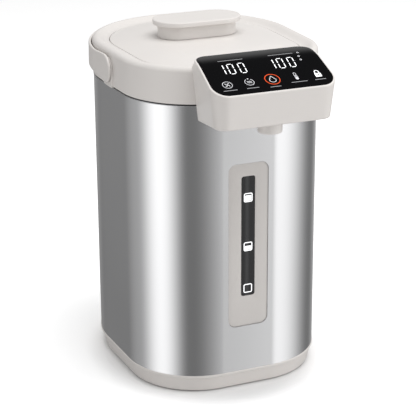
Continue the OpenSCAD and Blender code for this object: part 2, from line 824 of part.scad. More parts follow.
module heating_element() {
    turn = 310;
    color([0.35, 0.34, 0.33]) place() translate([0, 0, pot_bottom - heater_thick - element_rod])
        rotate_extrude(angle = turn, $fn = pot_fn) translate([element_radius, 0])
            circle(r = element_rod, $fn = small_fn);
}

module thermostat() {
    body_high = 10;
    tab = [6, 0.8, 7];
    color([0.80, 0.72, 0.50]) place() translate([0, 0, pot_bottom - heater_thick - body_high]) {
        rod(8, 0, body_high);
        for (side = [-1, 1]) translate([side * 5 - tab[0] / 2, -tab[1] / 2, -tab[2]])
            cube(tab + [0, 0, eps]);
    }
}

module thermal_fuse() {
    r = 2.4;
    long = 16;
    color([0.82, 0.82, 0.84]) place() translate([-long / 2, 18, pot_bottom - heater_thick - r])
        rotate([0, 90, 0]) cylinder(r = r, h = long, $fn = small_fn);
}

module temperature_probe() {
    long = 8;
    color(steel) place() translate([22, 0, pot_bottom - heater_thick - long]) {
        rod(2.5, 0, long, small_fn);
        rod(4, 0, 3, 6);
    }
}

/* Pump and water way */

module inlet_hose() {
    color(milky) place() translate([0, -pump_reach, 0]) difference() {
        rod(hose_radius, cover_top, pot_bottom);
        rod(hose_bore, cover_top - past, pot_bottom + past);
    }
}

module pump_motor() {
    color(zinc) place() translate([0, -pump_reach, 0]) difference() {
        rod(motor_radius, motor_low, motor_top);
        rod(shaft_radius + pin_clear, motor_low + 4, motor_top + past, small_fn);
    }
}

module pump_housing() {
    color(natural) place() translate([0, -pump_reach, 0]) difference() {
        union() {
            rod(pump_radius, motor_top, housing_top);
            translate([0, 0, outlet_z]) forward_rod(gauge_radius, pump_radius + outlet_long);
        }
        rod(pump_radius - housing_wall, motor_top + 3, housing_top + past);
        rod(shaft_radius + pin_clear, motor_top - past, housing_top, small_fn);
        translate([0, -pump_radius / 2, outlet_z])
            forward_rod(outlet_bore, pump_radius + outlet_long, small_fn);
    }
}

module pump_cover() {
    spigot = 9;
    color(natural) place() translate([0, -pump_reach, 0]) difference() {
        union() {
            rod(pump_radius, housing_top, cover_top);
            rod(hose_bore - pin_clear, housing_top, cover_top + spigot);
        }
        rod(outlet_bore, housing_top - past, cover_top + spigot + past, small_fn);
    }
}

module pump_impeller() {
    blade_out = pump_radius - 5;
    disc = 2;
    hub_radius = 4;
    blade = [blade_out - 3.5, 1.4, impeller_top - impeller_low - 1];
    color([0.20, 0.20, 0.22]) place() translate([0, -pump_reach, impeller_low]) difference() {
        union() {
            rod(blade_out, 0, disc);
            rod(hub_radius, 0, impeller_top - impeller_low);
            for (k = [0:5]) rotate([0, 0, 60 * k]) translate([3, -blade[1] / 2, 1]) cube(blade);
        }
        rod(shaft_radius, -past, 6, small_fn);
    }
}

module pump_shaft() {
    color(steel) place() translate([0, -pump_reach, 0])
        rod(shaft_radius, motor_low + 5, impeller_low + 6, small_fn);
}

// A straight length of hose that rises from the origin
module hose_length(long) {
    difference() {
        rod(hose_radius, 0, long);
        rod(gauge_radius + pin_clear, -past, long + past);
    }
}

// A quarter bend in the Y-Z plane that joins a level run to a rising one; side turns it round
module elbow_quarter(side) {
    rotate([0, 90, 0]) rotate([0, 0, side * 90]) rotate_extrude(angle = 90, $fn = round_fn)
        translate([elbow_bend, 0]) difference() {
            circle(r = hose_radius, $fn = round_fn);
            circle(r = gauge_radius + pin_clear, $fn = round_fn);
        }
}

// Level hose from the pump that turns up into the gauge tube
module pump_hose() {
    start = pump_reach + pump_radius + 1;
    riser = 8;
    color(milky) place() {
        translate([0, -start, outlet_z]) rotate([90, 0, 0]) hose_length(gauge_reach - elbow_bend - start);
        translate([0, -gauge_reach + elbow_bend, outlet_z + elbow_bend]) elbow_quarter(-1);
        translate([0, -gauge_reach, outlet_z + elbow_bend]) hose_length(riser);
    }
}

module gauge_tube() {
    color([0.85, 0.92, 0.95]) place() translate([0, -gauge_reach, 0]) difference() {
        rod(gauge_radius, gauge_low, gauge_top);
        rod(gauge_bore, gauge_low - past, gauge_top + past);
    }
}

// Rises over the gauge tube and turns forward to the spout
module upper_elbow() {
    low = gauge_top - hose_grip;
    color(milky) place() {
        translate([0, -gauge_reach, low]) hose_length(spout_z - elbow_bend - low);
        translate([0, -gauge_reach - elbow_bend, spout_z - elbow_bend]) elbow_quarter(1);
    }
}

module spout_pipe() {
    start = gauge_reach + elbow_bend;
    run = nozzle_reach - start;
    drop = 12;
    color(natural) place() difference() {
        union() {
            translate([0, -start, spout_z]) forward_rod(gauge_radius, run + 6);
            translate([0, -nozzle_reach, 0]) rod(6, spout_z - drop, spout_z + 6);
        }
        translate([0, -start + past, spout_z]) forward_rod(gauge_bore, run + past);
        translate([0, -nozzle_reach, 0]) rod(gauge_bore, spout_z - drop - past, spout_z);
    }
}

module spout_nozzle() {
    top = spout_z - 12;
    lip = 1.8;
    cup = 8;
    color(cream) place() translate([0, -nozzle_reach, 0]) difference() {
        rod(nozzle_radius, nozzle_bottom, top);
        rod(nozzle_radius - lip, nozzle_bottom - past, nozzle_bottom + cup);
        rod(nozzle_bore, nozzle_bottom - past, top + past);
    }
}

/* Electrics */

module power_board() {
    color(board_green) place() difference() {
        union() {
            translate([board_corner[0], board_corner[1], board_low])
                cube([board_size[0], board_size[1], board_thick]);
            for (p = board_feet) translate([p[0], p[1], 0]) rod(2.6, plate_top, board_low + eps, small_fn);
        }
        for (p = board_feet) translate([p[0], p[1], 0])
            rod(1.2, plate_top - past, board_low + board_thick + past, small_fn);
    }
}

module board_components() {
    low = board_low + board_thick;
    color(dark) place() {
        for (b = board_blocks) translate([b[0][0], b[0][1], low]) cube(b[1]);
        for (c = board_cans) translate([c[0], c[1], 0]) rod(c[2], low, low + c[3], small_fn);
    }
}

module power_inlet() {
    b = inlet_bezel;
    w = inlet_wall;
    behind = 6;
    color(black) place() difference() {
        union() {
            upright_plate(inlet_half_width, inlet_low, inlet_high, inlet_corner, inlet_front_y,
                inlet_face_y - inlet_front_y);
            difference() {
                upright_plate(inlet_half_width + b, inlet_low - b, inlet_high + b, inlet_corner + 2,
                    back_radius - behind, inlet_face_y - back_radius + behind);
                plan_prism(eps, inlet_low - 2 * b, inlet_high + 2 * b);
            }
        }
        upright_plate(inlet_half_width - w, inlet_low + w, inlet_high - w, 2, inlet_socket_y, 40);
    }
}

module inlet_contacts() {
    color(steel) place() for (k = [-1:1])
        translate([contact_pitch * k, inlet_socket_y, inlet_z + (k == 0 ? earth_lift : 0)])
            translate([-contact_size[0] / 2, 0, -contact_size[2] / 2]) cube(contact_size);
}

base_ring();
base_plate();
feet();
post_screws();
pot_posts();
outer_shell();
collar();
head_housing();
head_underside();
head_screws();
control_panel();
display_board();
window_frame();
sight_window();
lid_cover();
lid_pan();
lid_gasket();
lid_screws();
steam_valve();
knob_stem();
knob_plate();
knob_screws();
handle();
hinge_pin(-1);  // hinge_pin_left
hinge_pin(1);  // hinge_pin_right
inner_pot();
pot_seal();
insulation_jacket();
heater_plate();
heating_element();
thermostat();
thermal_fuse();
temperature_probe();
inlet_hose();
pump_motor();
pump_housing();
pump_cover();
pump_impeller();
pump_shaft();
pump_hose();
gauge_tube();
upper_elbow();
spout_pipe();
spout_nozzle();
power_board();
board_components();
power_inlet();
inlet_contacts();
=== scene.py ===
"""Electric thermo pot: surfaces, finishes and studio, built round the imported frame.

Lengths are in metres. The model's +Z is up and the spout looks towards -Y.
"""
import math

import bmesh
import bpy
import numpy as np
from bpy.props import FloatProperty, FloatVectorProperty, PointerProperty
from bpy.types import Operator, Panel, PropertyGroup
from mathutils import Matrix, Vector


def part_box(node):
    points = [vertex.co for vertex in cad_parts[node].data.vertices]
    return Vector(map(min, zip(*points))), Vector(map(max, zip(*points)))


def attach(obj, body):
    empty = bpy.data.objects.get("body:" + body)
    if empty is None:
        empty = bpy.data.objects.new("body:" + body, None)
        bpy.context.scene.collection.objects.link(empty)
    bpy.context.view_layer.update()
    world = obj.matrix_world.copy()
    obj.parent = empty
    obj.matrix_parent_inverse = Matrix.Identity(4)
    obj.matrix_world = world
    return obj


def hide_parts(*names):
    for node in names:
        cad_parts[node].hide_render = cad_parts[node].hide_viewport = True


bl_info = {
    "name": "Electric Thermo Pot",
    "version": (1, 0, 0),
    "blender": (4, 5, 0),
    "location": "View3D > Sidebar > Thermo Pot",
    "description": "Builds a D-shaped electric thermo pot and its studio",
    "category": "Object",
}

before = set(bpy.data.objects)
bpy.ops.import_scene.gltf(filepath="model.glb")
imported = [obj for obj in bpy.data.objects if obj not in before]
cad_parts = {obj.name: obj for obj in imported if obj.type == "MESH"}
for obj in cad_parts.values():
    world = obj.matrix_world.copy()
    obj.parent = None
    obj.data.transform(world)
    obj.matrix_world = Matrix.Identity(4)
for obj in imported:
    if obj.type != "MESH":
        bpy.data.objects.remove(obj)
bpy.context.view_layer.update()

MM = 0.001
SHELL_LOW, SHELL_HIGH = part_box("outer_shell")
COLLAR_LOW, COLLAR_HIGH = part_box("collar")
HEAD_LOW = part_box("head_housing")[0]
POT_LOW, POT_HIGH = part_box("inner_pot")
STEM_LOW, STEM_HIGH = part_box("knob_stem")
PLATE_LOW, PLATE_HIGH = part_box("knob_plate")
FRAME_LOW, FRAME_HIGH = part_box("window_frame")
SIGHT_LOW, SIGHT_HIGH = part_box("sight_window")
NOZZLE_LOW, NOZZLE_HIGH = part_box("spout_nozzle")
INLET_LOW, INLET_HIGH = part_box("power_inlet")
BASE_LOW, BASE_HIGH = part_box("base_ring")
# The axis of the round back stands this far behind the origin
AXIS_Y = (POT_LOW[1] + POT_HIGH[1]) / 2
WELD = 2e-6
# Edges that turn by more than this stay crisp
SHARP = math.radians(38)


# Settings --------------------------------------------------------------------------------------

def length(name, description, default):
    """A distance in metres that the sidebar shows."""
    return FloatProperty(name=name, description=description, default=default, unit="LENGTH",
                         subtype="DISTANCE", precision=5)


def angle(name, description, degrees):
    """An angle that the sidebar shows in degrees."""
    return FloatProperty(name=name, description=description, default=math.radians(degrees),
                         unit="ROTATION", subtype="ANGLE")


def share(name, description, default):
    """A plain number, such as a strength or a ratio."""
    return FloatProperty(name=name, description=description, default=default, precision=3)


def colour(name, description, default):
    """A linear colour."""
    return FloatVectorProperty(name=name, description=description, default=default, size=3,
                               subtype="COLOR", min=0, max=1)


class PotBody(PropertyGroup):
    """Sizes of the base, the steel shell, the collar and the lid."""
    back_radius: length("Back radius", "Radius of the round back", SHELL_HIGH[0])
    front_reach: length("Front reach", "From the back's axis to the flat front", AXIS_Y - SHELL_LOW[1])
    corner_radius: length("Corner radius", "Radius of the two front corners", 75.4 * MM)
    corner_spread: length("Corner spread", "Half distance of the corner centres", 27.6 * MM)
    sheet: length("Sheet", "Thickness of the steel sheet", 0.9 * MM)
    base_taper: length("Base taper", "How far the base draws in at its foot", 4.7 * MM)
    collar_outset: length("Collar outset", "How far the collar stands out of the steel", 0.8 * MM)
    collar_fillet: length("Collar fillet", "Radius of the collar's top edge", 5 * MM)
    collar_wall: length("Collar wall", "Wall of the collar", 2.8 * MM)
    mouth_radius: length("Mouth radius", "Radius of the hole that takes the pot", 84.4 * MM)
    deck: length("Deck", "Height of the deck that carries the pot", 322 * MM)
    rim_gap: length("Rim gap", "Height of the dark gap between the steel and the collar", 1.4 * MM)
    rim_gap_depth: length("Rim gap depth", "How far the gap goes in behind the steel's face", 1 * MM)
    rim_fall: length("Rim fall", "Offset at which the collar's rim has come down to the lid", 14.8 * MM)
    lid_edge: length("Lid edge", "Height of the collar at the edge of the lid", 340.5 * MM)
    lid_inset: length("Lid inset", "From the body's outline to the well of the lid", 17 * MM)
    lid_gap: length("Lid gap", "Gap round the lid", 0.5 * MM)
    lid_wall: length("Lid wall", "Wall of the lid", 2.4 * MM)
    crown: length("Crown", "Height of the lid's crown over its edge", 5.2 * MM)
    plateau: length("Plateau", "Inset at which the lid's crown becomes level", 59 * MM)


class PotHead(PropertyGroup):
    """Sizes of the head, its panel and the spout."""
    half_low: length("Half width below", "Half width of the front at its foot", 61.3 * MM)
    half_high: length("Half width above", "Half width at the front, carried up to the highest edge",
                      67.9 * MM)
    taper: length("Taper", "Narrowing of each side from the front to the panel's rear edge", 6.7 * MM)
    draft: length("Draft", "How far the front draws in towards its foot", 3.1 * MM)
    corner: length("Corner", "Radius of the front corners in plan, at the panel", 16.5 * MM)
    corner_low: length("Lower corner", "Radius of the front corners in plan, at the foot", 13 * MM)
    rear_reach: length("Rear reach", "From the back's axis to the head's highest edge", 140 * MM)
    saddle_reach: length("Saddle reach", "From the back's axis to the end of the saddle", 124.2 * MM)
    saddle_draw: length("Saddle draw", "How far each side draws in along the saddle", 8 * MM)
    foot_z: length("Foot height", "Height of the foot at the front", 299.2 * MM)
    skirt: length("Skirt", "How much lower the foot of a side lies at the body", 6.5 * MM)
    front_z: length("Panel's front height", "Height of the panel's front edge", 333 * MM)
    slope: angle("Panel's slope", "Slope of the panel", 24.2)
    roll: length("Roll", "Length over which the panel becomes level towards its rear edge", 28.6 * MM)
    wall: length("Wall", "Wall of the head", 2.5 * MM)
    edge: length("Edge", "Rounding of the rim round the panel", 1.0 * MM)
    foot_edge: length("Lower edge", "Rounding of the lower edge", 1.6 * MM)
    rim_front: length("Front rim", "Width of the rim in front of the panel", 1.2 * MM)
    rim_side: length("Side rim", "Width of the rim beside the panel", 1.8 * MM)
    rim_rear: length("Rear rim", "Width of the rim behind the panel", 0.6 * MM)
    glass: length("Glass", "Thickness of the panel", 2 * MM)
    glass_proud: length("Glass lift", "How far the panel stands out of the head", 0.1 * MM)
    glass_edge: length("Glass edge", "Rounding of the panel's edge", 0.4 * MM)
    glass_corner: length("Glass corner", "Radius of the panel's rear corners", 12.3 * MM)
    corner_fade: length("Corner fade", "Depth below the top at which the rear corners have run out", 11 * MM)


class PotTop(PropertyGroup):
    """Sizes of the grip and the strap handle."""
    stem_edge: length("Stem edge", "Rounding at the top of the stem", 1.6 * MM)
    stem_foot: length("Stem foot", "Rounding under the foot of the stem", 1.1 * MM)
    plate_edge: length("Plate edge", "Rounding of the grip plate's upper edge", 1.3 * MM)
    plate_under: length("Plate under edge", "Rounding of the grip plate's lower edge", 0.9 * MM)
    pivot_reach: length("Pivot reach", "Pivots in front of the back's axis", 28 * MM)
    pivot_z: length("Pivot height", "Height of the pivots", 325 * MM)
    pad_radius: length("Pad radius", "Radius of the handle's round ends", 14.5 * MM)
    neck: length("Neck", "Length over which a round end narrows to the strap", 34 * MM)
    strap_width: length("Strap width", "Width of the strap", 24 * MM)
    strap_out: length("Strap reach", "Outer face of the strap from the middle", 109.6 * MM)
    strap_thick: length("Strap thickness", "Thickness of the strap", 2.7 * MM)
    strap_tilt: angle("Strap tilt", "Rise of the folded strap towards the back", 2.3)
    strap_edge: length("Strap edge", "Rounding of the strap's edges", 1.2 * MM)
    boss_face: length("Boss face", "Distance of the boss's face from the middle", 106.3 * MM)
    boss_radius: length("Boss radius", "Radius of the boss under the pad", 12 * MM)
    tongue_centre: length("Tongue reach", "Tongue below the boss, in front of the axis", 29 * MM)
    tongue_half: length("Tongue half width", "Half width of the tongue", 11 * MM)
    tongue_low: length("Tongue foot", "Lowest edge of the tongue", 306.8 * MM)


class PotWindow(PropertyGroup):
    """Sizes of the level window."""
    corner: length("Corner", "Corner radius of the window's frame", 8 * MM)
    gap: length("Gap", "Gap between the frame and the steel", 0.1 * MM)
    edge: length("Edge", "Rounding of the frame's edges", 0.35 * MM)
    flange: length("Flange", "How far the frame reaches behind the steel", 3 * MM)
    sight_corner: length("Sight corner", "Corner radius of the sight window", 2.5 * MM)
    mark_side: length("Mark side", "Side of a level mark", 9.5 * MM)
    mark_line: length("Mark line", "Line width of a level mark", 1.0 * MM)


class PotColours(PropertyGroup):
    """Colours of the finishes, linear."""
    cream: colour("Cream", "Moulded cream parts", (0.745, 0.716, 0.692))
    cream_deep: colour("Deep cream", "Cream where the grain lies deeper", (0.715, 0.684, 0.658))
    steel: colour("Steel", "Brushed steel", (0.78, 0.78, 0.785))
    steel_deep: colour("Deep steel", "Brushed steel along its lines", (0.72, 0.72, 0.73))
    black: colour("Black", "Control panel", (0.004, 0.004, 0.0045))
    smoked: colour("Smoked", "Sight window", (0.012, 0.012, 0.013))
    smoked_streak: colour("Streak", "Gauge tube seen through the window", (0.05, 0.05, 0.052))
    mark: colour("Mark", "Lit marks", (0.86, 0.87, 0.88))
    key: colour("Key mark", "Marks of the touch keys", (0.52, 0.52, 0.54))
    caption: colour("Caption", "Small bars under the marks", (0.24, 0.24, 0.25))
    ring: colour("Ring", "Ring round the water mark", (0.56, 0.06, 0.012))


class PotStudio(PropertyGroup):
    """Camera, lamps and floor."""
    azimuth: angle("Azimuth", "Direction of the view round the pot", -23.13)
    elevation: angle("Elevation", "Height of the view over the horizon", 19.58)
    roll: angle("Roll", "Roll of the camera", -0.25)
    distance: length("Distance", "Distance of the camera", 1628.14 * MM)
    aim_side: length("Aim to the side", "Aim point, to the right of the pot's axis", 14.41 * MM)
    aim_height: length("Aim height", "Height of the aim point", 151.06 * MM)
    focal_length: share("Focal length", "Focal length in millimetres, for a 36 mm sensor", 129.656)
    floor_half: length("Floor", "Half side of the floor", 3.0)
    sky: share("Sky", "Level of the light from all round", 0.62)
    key: share("Key lamp", "Power of the large lamp above, in watts", 19.5)
    side: share("Side lamp", "Power of the lamp at the right, in watts", 7.0)


# Surfaces --------------------------------------------------------------------------------------

def grid_faces(rows, columns, close_rows=False, close_columns=False):
    """Quads between neighbouring rows and columns of points that are numbered row by row."""
    row, column = np.meshgrid(np.arange(rows if close_rows else rows - 1),
                              np.arange(columns if close_columns else columns - 1), indexing="ij")
    next_row, next_column = (row + 1) % rows, (column + 1) % columns
    corners = [row * columns + column, row * columns + next_column,
               next_row * columns + next_column, next_row * columns + column]
    return np.stack(corners, axis=-1).reshape(-1, 4)


def loft(rows, close_rows=False, close_columns=True):
    """A skin through rows of points, each an array of the same length."""
    return np.concatenate(rows), grid_faces(len(rows), len(rows[0]), close_rows, close_columns)


def joined(*patches):
    """Several patches of (points, faces) as one."""
    starts = np.cumsum([0] + [len(points) for points, _ in patches[:-1]])
    return (np.concatenate([points for points, _ in patches]),
            np.concatenate([faces + start for (_, faces), start in zip(patches, starts)]))


def mirrored(patch):
    """A patch mirrored in x, with its faces turned back outwards."""
    points, faces = patch
    return points * [-1, 1, 1], faces[:, ::-1]


def arc(centre, radius, start, stop, count):
    """Points centre + radius * (cos a, sin a) and their directions, for count angles a."""
    angles = np.linspace(start, stop, count)
    directions = np.column_stack([np.cos(angles), np.sin(angles)])
    return np.asarray(centre) + radius * directions, directions


def between(first, last, count):
    """Count points that divide the line from first to last, without its ends."""
    steps = np.linspace(0, 1, count + 2)[1:-1, None]
    return np.asarray(first) + (np.asarray(last) - first) * steps


def round_corners(section, radii, steps=6, closed=True):
    """A section whose corners are arcs. An arc of radius r touches both sides at r / tan(half the corner's
    angle) from the corner. One more point beyond each end keeps the sides' shading flat."""
    section = np.asarray(section, dtype=float)
    towards = np.roll(section, 1, axis=0) - section, np.roll(section, -1, axis=0) - section
    sides = [np.linalg.norm(side, axis=1) for side in towards]
    rounded = []
    for k, (corner, radius) in enumerate(zip(section, radii)):
        if radius == 0 or (not closed and k in (0, len(section) - 1)):
            rounded.append(corner)
            continue
        before, after = towards[0][k] / sides[0][k], towards[1][k] / sides[1][k]
        half = math.acos(np.clip(before @ after, -1, 1)) / 2
        touch = radius / math.tan(half)
        bisector = (before + after) / np.linalg.norm(before + after)
        centre = corner + bisector * radius / math.sin(half)
        first, last = corner + before * touch - centre, corner + after * touch - centre
        start = math.atan2(first[1], first[0])
        turn = math.atan2(first[0] * last[1] - first[1] * last[0], first @ last)
        support = 0.12 * radius
        if sides[0][k] > touch + 3 * support:
            rounded.append(corner + before * (touch + support))
        rounded.extend(arc(centre, radius, start, start + turn, steps + 1)[0])
        if sides[1][k] > touch + 3 * support:
            rounded.append(corner + after * (touch + support))
    return np.array(rounded)


def outward(outline):
    """Directions square to a closed counter-clockwise outline, from each point's two neighbours."""
    along = np.roll(outline, -1, axis=0) - np.roll(outline, 1, axis=0)
    square = np.column_stack([along[:, 1], -along[:, 0]])
    return square / np.linalg.norm(square, axis=1, keepdims=True)


def plan_columns(body):
    """Points of the body's outline and their outward directions: three arcs about the circles of the plan
    and the straight tangents between them. The last stretch is the flat front."""
    corner_y = body.corner_radius - body.front_reach
    right, left = np.array([body.corner_spread, corner_y]), np.array([-body.corner_spread, corner_y])
    reach = (body.back_radius - body.corner_radius) / np.linalg.norm(right)
    tangent = math.atan2(right[1], right[0]) + math.acos(reach)
    down, turn = -math.pi / 2, math.pi
    parts = [arc(right, body.corner_radius, down, tangent, 46),
             None,
             arc((0, 0), body.back_radius, tangent, turn - tangent, 132),
             None,
             arc(left, body.corner_radius, turn - tangent, turn - down, 46),
             None]
    for k in (1, 3, 5):
        (before, before_way), (after, _) = parts[k - 1], parts[(k + 1) % 6]
        straight = between(before[-1], after[0], 14)
        parts[k] = straight, np.tile(before_way[-1], (len(straight), 1))
    return np.concatenate([p for p, _ in parts]), np.concatenate([d for _, d in parts])


def ring(columns, offset, height):
    """The body's outline grown by offset, at a height."""
    points, directions = columns
    place = points + offset * directions
    return np.column_stack([place[:, 0], place[:, 1] + AXIS_Y, np.full(len(place), height)])


def mouth_ring(columns, radius, height, centre=(0, 0)):
    """A circle whose points lie in the same directions from its centre as the columns."""
    points = columns[0] - centre
    place = centre + radius * points / np.linalg.norm(points, axis=1, keepdims=True)
    return np.column_stack([place[:, 0], place[:, 1] + AXIS_Y, np.full(len(place), height)])


def rings(columns, section):
    """One row for each (offset, height) of a section."""
    return [ring(columns, offset, height) for offset, height in section]


def edge_steps(radius, steps=5):
    """(inset, drop) of points on a quarter round edge, from the side to the top."""
    angles = np.linspace(0, math.pi / 2, steps + 1)
    return np.column_stack([radius * (1 - np.cos(angles)), radius * (1 - np.sin(angles))])


def slab(outline, low, high, low_edge, high_edge, steps=4):
    """A closed plate of a convex outline between two levels, with rounded edges: rows of the outline drawn in
    by the edge's inset, and a middle point that closes each end."""
    def end(level, way, edge):
        """(inset, level) from the side to the end's flat face."""
        if not edge:
            return [(0, level)]
        round_off = [(inset, level + way * drop) for inset, drop in edge_steps(edge, steps)]
        return round_off + [(1.5 * edge, level)]

    directions = outward(outline)
    rows = [np.column_stack([outline - inset * directions, np.full(len(outline), level)])
            for inset, level in end(low, 1, low_edge)[::-1] + end(high, -1, high_edge)]
    first, last = (np.tile([*outline.mean(axis=0), level], (len(outline), 1)) for level in (low, high))
    return loft([first, *rows, last])


def rounded_rectangle(half_width, low, high, corner, steps=8, side_points=6):
    """Counter-clockwise outline of an upright rectangle with round corners and points along its sides."""
    quarter = math.pi / 2
    centres = [(half_width - corner, low + corner), (half_width - corner, high - corner),
               (-half_width + corner, high - corner), (-half_width + corner, low + corner)]
    arcs = [arc(centre, corner, (k - 1) * quarter, k * quarter, steps + 1)[0]
            for k, centre in enumerate(centres)]
    pieces = []
    for k, points in enumerate(arcs):
        pieces += [points, between(points[-1], arcs[(k + 1) % 4][0], side_points)]
    return np.concatenate(pieces)


def stadium(half_length, half_depth, steps=40):
    """Counter-clockwise outline of two half circles joined by straight sides."""
    flat = half_length - half_depth
    quarter = math.pi / 2
    return np.concatenate([arc((flat, 0), half_depth, -quarter, quarter, steps + 1)[0],
                           arc((-flat, 0), half_depth, quarter, 3 * quarter, steps + 1)[0]])


# Pieces ----------------------------------------------------------------------------------------

def new_piece(name, patch, finish, body, nodes=()):
    """A mesh object at the origin: doubles merged, its skin turned outwards, its sharp edges kept crisp. It
    rides on a body and stands for the given nodes."""
    points, faces = patch
    mesh = bpy.data.meshes.new(name)
    mesh.from_pydata(np.asarray(points).tolist(), [], np.asarray(faces).tolist())
    skin = bmesh.new()
    skin.from_mesh(mesh)
    bmesh.ops.remove_doubles(skin, verts=skin.verts, dist=WELD)
    bmesh.ops.dissolve_degenerate(skin, edges=skin.edges, dist=WELD)
    bmesh.ops.recalc_face_normals(skin, faces=skin.faces)
    skin.to_mesh(mesh)
    skin.free()
    mesh.shade_smooth()
    mesh.set_sharp_from_angle(angle=SHARP)
    piece = bpy.data.objects.new(name, mesh)
    bpy.context.scene.collection.objects.link(piece)
    mesh.materials.append(finish)
    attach(piece, body)
    if nodes:
        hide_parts(*nodes)
    return piece


def refinish(finish, *names):
    """Gives carried-over nodes of the frame a finish."""
    for name in names:
        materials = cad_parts[name].data.materials
        materials.clear()
        materials.append(finish)


def steel_skin(body, window, depth):
    """The D-shaped sheet's face at a depth inside it. Its front is a skin between the flat front's rectangle
    and the window's rounded opening. The rest is the outline's columns carried up through the same heights,
    without the faces behind the power inlet."""
    draw_in = window.flange - window.gap
    hole = rounded_rectangle(-FRAME_LOW[0] - draw_in, FRAME_LOW[2] + draw_in, FRAME_HIGH[2] - draw_in,
                             window.corner)
    half, low, high = body.corner_spread - 0.6 * MM, SHELL_LOW[2], SHELL_HIGH[2]
    spread = np.sign(np.round(hole[:, 0] / (hole[:, 0].max() - window.corner), 4)) * half
    flat_side = np.isclose(np.abs(hole[:, 0]), hole[:, 0].max())
    across = np.clip(hole[:, 0] / (hole[:, 0].max() - window.corner), -1, 1) * half
    upright = np.where(hole[:, 1] > (low + high) / 2, high, low)
    outer = np.column_stack([np.where(flat_side, spread, across), np.where(flat_side, hole[:, 1], upright)])
    front_y = SHELL_LOW[1] + depth
    front = loft([np.column_stack([o[:, 0], np.full(len(o), front_y), o[:, 1]]) for o in (outer, hole)])
    heights = np.unique(np.round(np.concatenate([outer[flat_side, 1], [low, high]]), 7))
    heights = np.unique(np.concatenate([heights, [INLET_LOW[2] + 1.5 * MM, INLET_HIGH[2] - 1.5 * MM]]))
    points, directions = plan_columns(body)
    ends = np.array([[half, points[0, 1]], [-half, points[0, 1]]])
    columns = (np.concatenate([ends[:1], points[:-14], ends[1:]]),
               np.concatenate([directions[:1], directions[:-14], directions[:1]]))
    wrap_points, wrap_faces = loft([ring(columns, -depth, z) for z in heights], close_columns=False)
    middles = wrap_points[wrap_faces].mean(axis=1)
    inlet = ((middles[:, 1] > 0) & (np.abs(middles[:, 0]) < INLET_HIGH[0] - 1.6 * MM)
             & (middles[:, 2] > INLET_LOW[2] + 1.4 * MM) & (middles[:, 2] < INLET_HIGH[2] - 1.4 * MM))
    return joined(front, (wrap_points, wrap_faces[~inlet]))


def steel_shell(body, window):
    """The sheet as a closed wall: its outer face, the same face at the sheet's thickness turned round, and a
    rim along every edge that only one face uses."""
    outer, faces = steel_skin(body, window, 0)
    inner, _ = steel_skin(body, window, body.sheet)
    _, first, same = np.unique(np.round(outer, 7), axis=0, return_index=True, return_inverse=True)
    welded = same.reshape(-1)[faces]
    edges = np.concatenate([welded[:, [k, (k + 1) % 4]] for k in range(4)])
    edges = edges[edges[:, 0] != edges[:, 1]]
    _, place, uses = np.unique(np.sort(edges, axis=1), axis=0, return_index=True, return_counts=True)
    rim = first[edges[place[uses == 1]]]
    count = len(outer)
    rim_faces = np.column_stack([rim[:, 1], rim[:, 0], rim[:, 0] + count, rim[:, 1] + count])
    return np.concatenate([outer, inner]), np.concatenate([faces, faces[:, ::-1] + count, rim_faces])


def rim_section(body):
    """(offset, height) over the collar's rim: a quarter round, then half a cosine down to the lid's edge."""
    crest = -body.collar_fillet + body.collar_outset
    quarter, _ = arc((crest, COLLAR_HIGH[2] - body.collar_fillet), body.collar_fillet, 0, math.pi / 2, 13)
    part = np.linspace(0, 1, 15)[1:]
    lift = COLLAR_HIGH[2] - body.lid_edge
    fall = np.column_stack([crest - part * (body.rim_fall + crest),
                            body.lid_edge + lift * (1 + np.cos(math.pi * part)) / 2])
    return np.concatenate([quarter, fall])


def collar_ring(body):
    """The collar's closed section carried round the outline: a gap over the steel, outer wall, rim, well of
    the lid, deck to the round mouth, and back inside the wall."""
    columns = plan_columns(body)
    low, crest, edge = COLLAR_LOW[2], COLLAR_HIGH[2], body.lid_edge
    wall_in = body.collar_outset - body.collar_wall
    well_out = body.collar_wall - body.lid_inset
    gap_in, gap_top = -body.rim_gap_depth, low + body.rim_gap
    skirt = round_corners([(wall_in, low), (gap_in, low), (gap_in, gap_top), (body.collar_outset, gap_top),
                           (body.collar_outset, crest - 6 * MM)],
                          [0, 0, 0, 0.5 * MM, 0], steps=5, closed=False)
    well = round_corners([(-body.rim_fall, edge), (-body.lid_inset, edge), (-body.lid_inset, body.deck)],
                         [0, 0.6 * MM, 0], steps=6, closed=False)
    under = body.deck - 3.5 * MM
    inside = [(well_out, under), (well_out, edge - body.collar_wall), (-6 * MM, crest - body.collar_wall),
              (wall_in, crest - body.collar_wall - 4 * MM)]
    return loft(rings(columns, np.concatenate([skirt, rim_section(body), well[1:]]))
                + [mouth_ring(columns, body.mouth_radius, z) for z in (body.deck, under)]
                + rings(columns, inside), close_rows=True)


def collar_shade_strip(body):
    """A dark strip in the gap over the steel, painted shade for the shadow in the recess: a closed section
    carried round the outline.
    """
    low, high = COLLAR_LOW[2], COLLAR_LOW[2] + body.rim_gap
    inner, outer = -0.95 * body.rim_gap_depth, -0.25 * MM
    section = round_corners([(inner, low), (outer, low), (outer, high), (inner, high)],
                            [0, 0.2 * MM, 0.2 * MM, 0])
    return loft(rings(plan_columns(body), section), close_rows=True)


def shell_bead(body):
    """The rolled upper edge of the sheet: a small circle carried round the outline."""
    radius = 0.45 * MM
    section = disc(-0.05 * MM, SHELL_HIGH[2] - radius, radius, 12)
    return loft(rings(plan_columns(body), section), close_rows=True)


